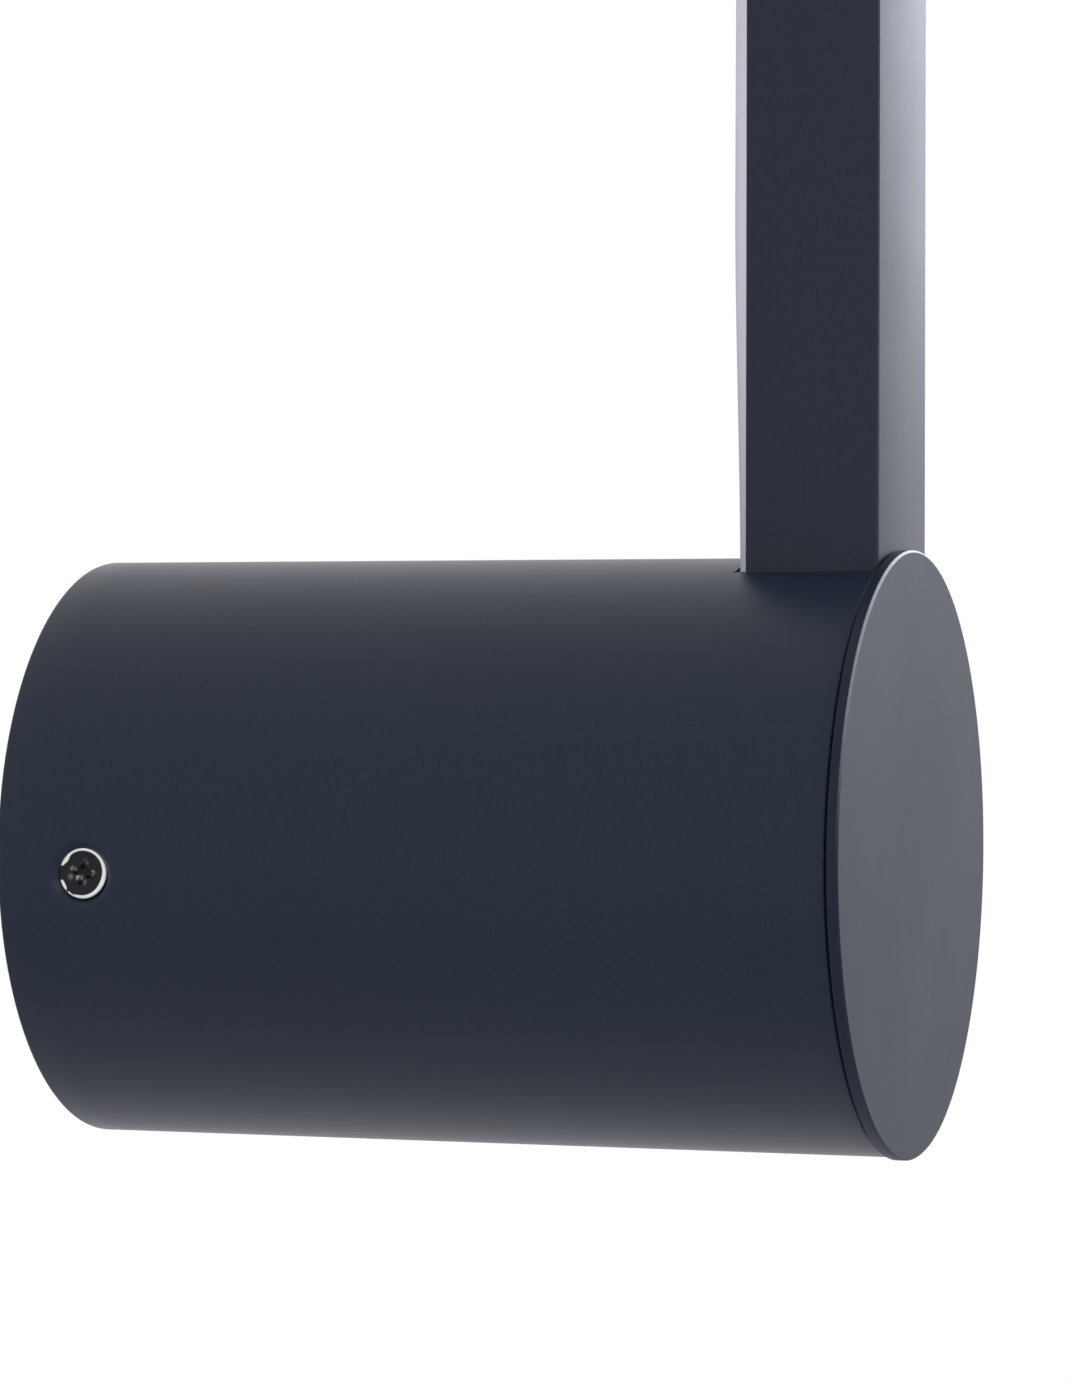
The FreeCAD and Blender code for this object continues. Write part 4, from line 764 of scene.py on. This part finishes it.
# How wide the bare-metal part of the rim is at an angle: a share of the band, wider at the lower right, with
# two fat ends beside the stretch on the left that keeps its coat, and a nick below.
def rimShare(degrees):
    def bump(centre, width):        # exp(-((angle from the centre) / width)²), round the circle
        away = (degrees - centre + 180) % 360 - 180
        return np.exp(-(away / width) ** 2)
    share = 0.6 + 0.2 * bump(-22, 34) + 0.38 * bump(144, 12) + 0.1 * bump(-150, 9) - 0.25 * bump(-117, 10)
    away = abs(degrees % 360 - 180)
    return share * smoothStep(14, 21, away) * (1 - 0.95 * bump(-132, 4))


# A flat screw head and shank about one axis: radius and height follow a profile of rings, and inside the
# head the height drops by recess × cross, where cross is 1 in either of two tapered arms and eases to 0 at
# their sides. The bare mask is 1 in the bare part of the rim, and strength × exp(-(distance / radius)²) in
# each glint, a painted highlight on the recess.
def screwShape(v, columns=144):
    turn = np.linspace(0, 2 * np.pi, columns, endpoint=False)
    head, land, thread, rim = v["head"], v["land"], v["thread"], v["rim"]
    pole = 0.02
    faceRings = np.concatenate([np.linspace(pole, head - rim - 0.05, 42), np.linspace(head - rim, head, 14)])
    out = np.clip((faceRings - head + rim) / rim, 0, 1)
    faceHeight = v["bead"] * (np.sin(np.pi * out ** 1.5) - smoothStep(0.8, 1.0, out))
    under = np.array([(head, -land), (thread, -land - head + thread), (thread, -v["length"] + 0.4),
                      (thread - 0.4, -v["length"]), (pole, -v["length"])])
    radius = np.concatenate([faceRings, under[:, 0]])[:, None]
    height = np.concatenate([faceHeight, under[:, 1]])[:, None] + 0 * turn
    x, y = radius * np.cos(turn), radius * np.sin(turn)
    angle = np.radians(v["turn"])
    u, w = x * np.cos(angle) + y * np.sin(angle), y * np.cos(angle) - x * np.sin(angle)
    cross = 0.95 * (1 - smoothStep(0.25, 0.8, np.hypot(x, y)))
    for along, across in ((u, w), (w, u)):
        ragged = 0.03 * np.sin(9 * along + 3 * across)
        taper = abs(across) + 0.05 * abs(along) + ragged
        side = 1 - smoothStep(v["armHalf"] - 0.09, v["armHalf"] + 0.09, taper)
        reach = 1 - smoothStep(v["armReach"] - 0.5, v["armReach"], abs(along))
        cross = np.maximum(cross, side * reach)
    onFace = (np.arange(len(radius)) < len(faceRings))[:, None]
    height = height - np.where(onFace, v["recess"] * cross, 0)
    rubbed = rimShare(np.degrees(turn))
    inner, shown = head - rim * rubbed, np.minimum(1, rubbed / 0.3)
    onHead = (np.arange(len(radius)) <= len(faceRings))[:, None]
    bareAndGlints = smoothStep(inner - 0.05, inner + 0.05, radius) * shown * onHead
    # painted glints: bare-metal spots placed where light catches the recess
    for across, up, size, strength in v["glints"]:
        spot = strength * np.exp(-((x - across) ** 2 + (y - up) ** 2) / size ** 2)
        bareAndGlints = np.maximum(bareAndGlints, spot * onFace)
    return x, y, height, bareAndGlints


# Places a screw's shape with its face at a point and its axis along a direction, turned about that axis.
def placeShape(x, y, height, centre, axis, up, turned=0.0):
    side = np.cross(up, axis)
    across = np.cos(turned) * side - np.sin(turned) * up
    above = np.cos(turned) * up + np.sin(turned) * side
    return centre + x[..., None] * across + y[..., None] * above + height[..., None] * axis


def buildSideScrews():
    v = screwValues
    x, y, height, bareAndGlints = screwShape(v)
    drop = np.radians(tubeValues["screwDrop"])
    points, faces = [], []
    for way, turned in ((-1, 0.0), (1, v["farTurn"])):
        axis = np.array([way * np.cos(drop), 0, -np.sin(drop)])
        up = np.array([-way * np.sin(drop), 0, np.cos(drop)])
        centre = axis * v["face"] + [0, -tubeValues["screwDepth"], 0]
        faces.append(gridQuads(*x.shape, closedColumns=True, first=len(points) * x.size).reshape(-1, 4))
        points.append(placeShape(x, y, height, centre, axis, up, turned).reshape(-1, 3))
    number = np.arange(2 * x.size).reshape(2, *x.shape)
    lids = [number[k, row].tolist() for k in range(2) for row in (0, -1)]
    piece = makePiece("sideScrews", np.concatenate(points), np.concatenate(faces).tolist() + lids, 40,
                      {"bareAndGlints": np.tile(bareAndGlints.ravel(), 2)})
    return finishPiece(piece, "side_screws", screwMaterial("blackScrew"))


buildSideScrews()


innerFinishes = {
    "bareAluminium": (metalMaterial("bareAluminium", (0.60, 0.61, 0.63, 1), 0.38),
                      ["foot_block", "carrier_plate", "wall_plate"]),
    "zincSteel": (metalMaterial("zincSteel", (0.58, 0.59, 0.62, 1), 0.3, (1, 1, 1), 900.0),
                  ["foot_front_screws", "foot_rear_screws", "cap_screws", "terminal_clamps",
                   "terminal_fixing_screws", "driver_tray", "tray_screws", "driver_screws"]),
    "brass": (metalMaterial("brass", (0.62, 0.44, 0.18, 1), 0.3), ["terminal_barrels", "earth_screw"]),
    "tinnedBrass": (metalMaterial("tinnedBrass", (0.60, 0.58, 0.53, 1), 0.34), ["earth_tag"]),
    "blackScrewTop": (screwMaterial("blackScrewTop"), ["end_cap_screws"]),
    "endCoat": (coatMaterial("endCoat"), ["bar_end_cap"]),
    "thermalTape": (mouldedMaterial("thermalTape", (0.33, 0.35, 0.38, 1), 0.75), ["thermal_tape"]),
    "boardWhite": (mouldedMaterial("boardWhite", (0.78, 0.78, 0.76, 1), 0.35, 2500.0), ["led_board"]),
    "ledYellow": (mouldedMaterial("ledYellow", (0.83, 0.62, 0.13, 1), 0.3, 3500.0), ["led_chips"]),
    "whitePlastic": (mouldedMaterial("whitePlastic", (0.7, 0.7, 0.67, 1), 0.45),
                     ["terminal_block", "driver_case", "driver_lid"]),
    "blackRubber": (mouldedMaterial("blackRubber", (0.012, 0.012, 0.013, 1), 0.72, 2600.0),
                    ["lead_grommet", "supply_grommet"]),
    "boardGreen": (mouldedMaterial("boardGreen", (0.02, 0.13, 0.05, 1), 0.35, 3000.0), ["driver_board"]),
    "darkCase": (mouldedMaterial("darkCase", (0.022, 0.022, 0.026, 1), 0.45),
                 ["driver_transformer", "driver_capacitors"]),
    "leadRed": (mouldedMaterial("leadRed", (0.32, 0.02, 0.015, 1), 0.5), ["led_lead_positive"]),
    "leadBlack": (mouldedMaterial("leadBlack", (0.015, 0.015, 0.017, 1), 0.5), ["led_lead_negative"]),
    "leadBrown": (mouldedMaterial("leadBrown", (0.09, 0.035, 0.015, 1), 0.5), ["live_lead"]),
    "leadBlue": (mouldedMaterial("leadBlue", (0.02, 0.06, 0.3, 1), 0.5), ["neutral_lead"]),
    "leadGreen": (mouldedMaterial("leadGreen", (0.05, 0.22, 0.03, 1), 0.5), ["earth_lead"]),
}
for material, names in innerFinishes.values():
    for name in names:
        nodes[name].data.materials.clear()
        nodes[name].data.materials.append(material)
print("inner pieces finished")


studioValues = {
    "floor": -0.30,
    "room": 0.68,              # world strength for diffuse light; it is white, 1, wherever it is seen
    "floorSize": 30.0,
    "floorFade": (0.5, 1.3),   # distances over which the seen floor turns into the white room
    # two soft panels: place, width, height, radiance and tint
    "card": ((2.5, -0.84, 0.84), 1.7, 1.1, 4.9, (0.94, 0.965, 1.1)),
    "front": ((-0.9, -2.4, 1.5), 1.3, 1.0, 3.0, (1, 1, 1)),
}


# 1 on a ray from the camera, a mirror reflection or a view through glass, and 0 on one that lights a
# surface.
def seenShare(g):
    path = g.add("LightPath")
    seen = g.math("MAXIMUM", path.outputs["Is Camera Ray"], path.outputs["Is Glossy Ray"])
    return g.math("MAXIMUM", seen, path.outputs["Is Transmission Ray"])


def buildWorld():
    world = bpy.data.worlds.new("studioRoom")
    world.use_nodes = True
    scene.world = world
    g = Graph(world.node_tree)
    seen = seenShare(g)
    background = world.node_tree.nodes["Background"]
    background.inputs["Color"].default_value = (1, 1, 1, 1)
    g.feed(background.inputs["Strength"], g.ramp(seen, 0, 1, studioValues["room"], 1.0))


# The floor is a pale matt plane. Where it is seen it fades to the white of the room further out.
def buildFloor():
    size, z = studioValues["floorSize"], studioValues["floor"]
    mesh = bpy.data.meshes.new("floor")
    corners = [(-size, -size, z), (size, -size, z), (size, size, z), (-size, size, z)]
    mesh.from_pydata(corners, [], [(0, 1, 2, 3)])
    floor = bpy.data.objects.new("floor", mesh)
    scene.collection.objects.link(floor)
    material, g, shader = startMaterial("paleFloor")
    shader.inputs["Base Color"].default_value = (0.86, 0.86, 0.86, 1)
    shader.inputs["Roughness"].default_value = 0.9
    spot = g.add("SeparateXYZ", {0: g.place()}).outputs
    square = g.math("ADD", g.math("POWER", spot["X"], 2.0), g.math("POWER", spot["Y"], 2.0))
    distance = g.math("SQRT", square)
    share = g.math("MULTIPLY", g.ramp(distance, *studioValues["floorFade"]), seenShare(g))
    white = g.add("Emission", {"Color": (1, 1, 1, 1), "Strength": 1.0}).outputs[0]
    mixed = g.add("MixShader", {0: share, 1: shader.outputs[0], 2: white}).outputs[0]
    g.feed(material.node_tree.nodes["Material Output"].inputs["Surface"], mixed)
    mesh.materials.append(material)


# A panel of radiance L and area A gives L × A × pi watts.
def buildPanel(name, spot, width, height, radiance, tint):
    light = bpy.data.lights.new(name, "AREA")
    light.shape, light.size, light.size_y = "RECTANGLE", width, height
    light.energy, light.color = radiance * width * height * np.pi, tint
    panel = bpy.data.objects.new(name, light)
    panel.location = spot
    panel.rotation_euler = (-Vector(spot)).to_track_quat("-Z", "Y").to_euler()
    panel.visible_camera = False
    scene.collection.objects.link(panel)


cameraValues = {
    "spot": (-0.462461, -0.203392, 0.017994),
    "heading": -71.4789,       # degrees, from +Y
    "tilt": -0.1224,
    "roll": 0.1061,
    "lens": 119.326,           # millimetres, for a picture 36 mm tall
}


def buildCamera():
    v = cameraValues
    camera = bpy.data.objects.new("camera", bpy.data.cameras.new("camera"))
    camera.data.sensor_width = 36.0
    camera.data.lens = v["lens"]
    camera.data.clip_start = 0.01
    turn = (Matrix.Rotation(np.radians(v["heading"]), 4, "Z")
            @ Matrix.Rotation(np.radians(90 + v["tilt"]), 4, "X")
            @ Matrix.Rotation(np.radians(v["roll"]), 4, "Z"))
    camera.matrix_world = Matrix.Translation(v["spot"]) @ turn
    scene.collection.objects.link(camera)
    scene.camera = camera


buildWorld()
buildFloor()
buildPanel("card", *studioValues["card"])
buildPanel("front", *studioValues["front"])
buildCamera()
scene.view_settings.view_transform = "Standard"
print("studio built")
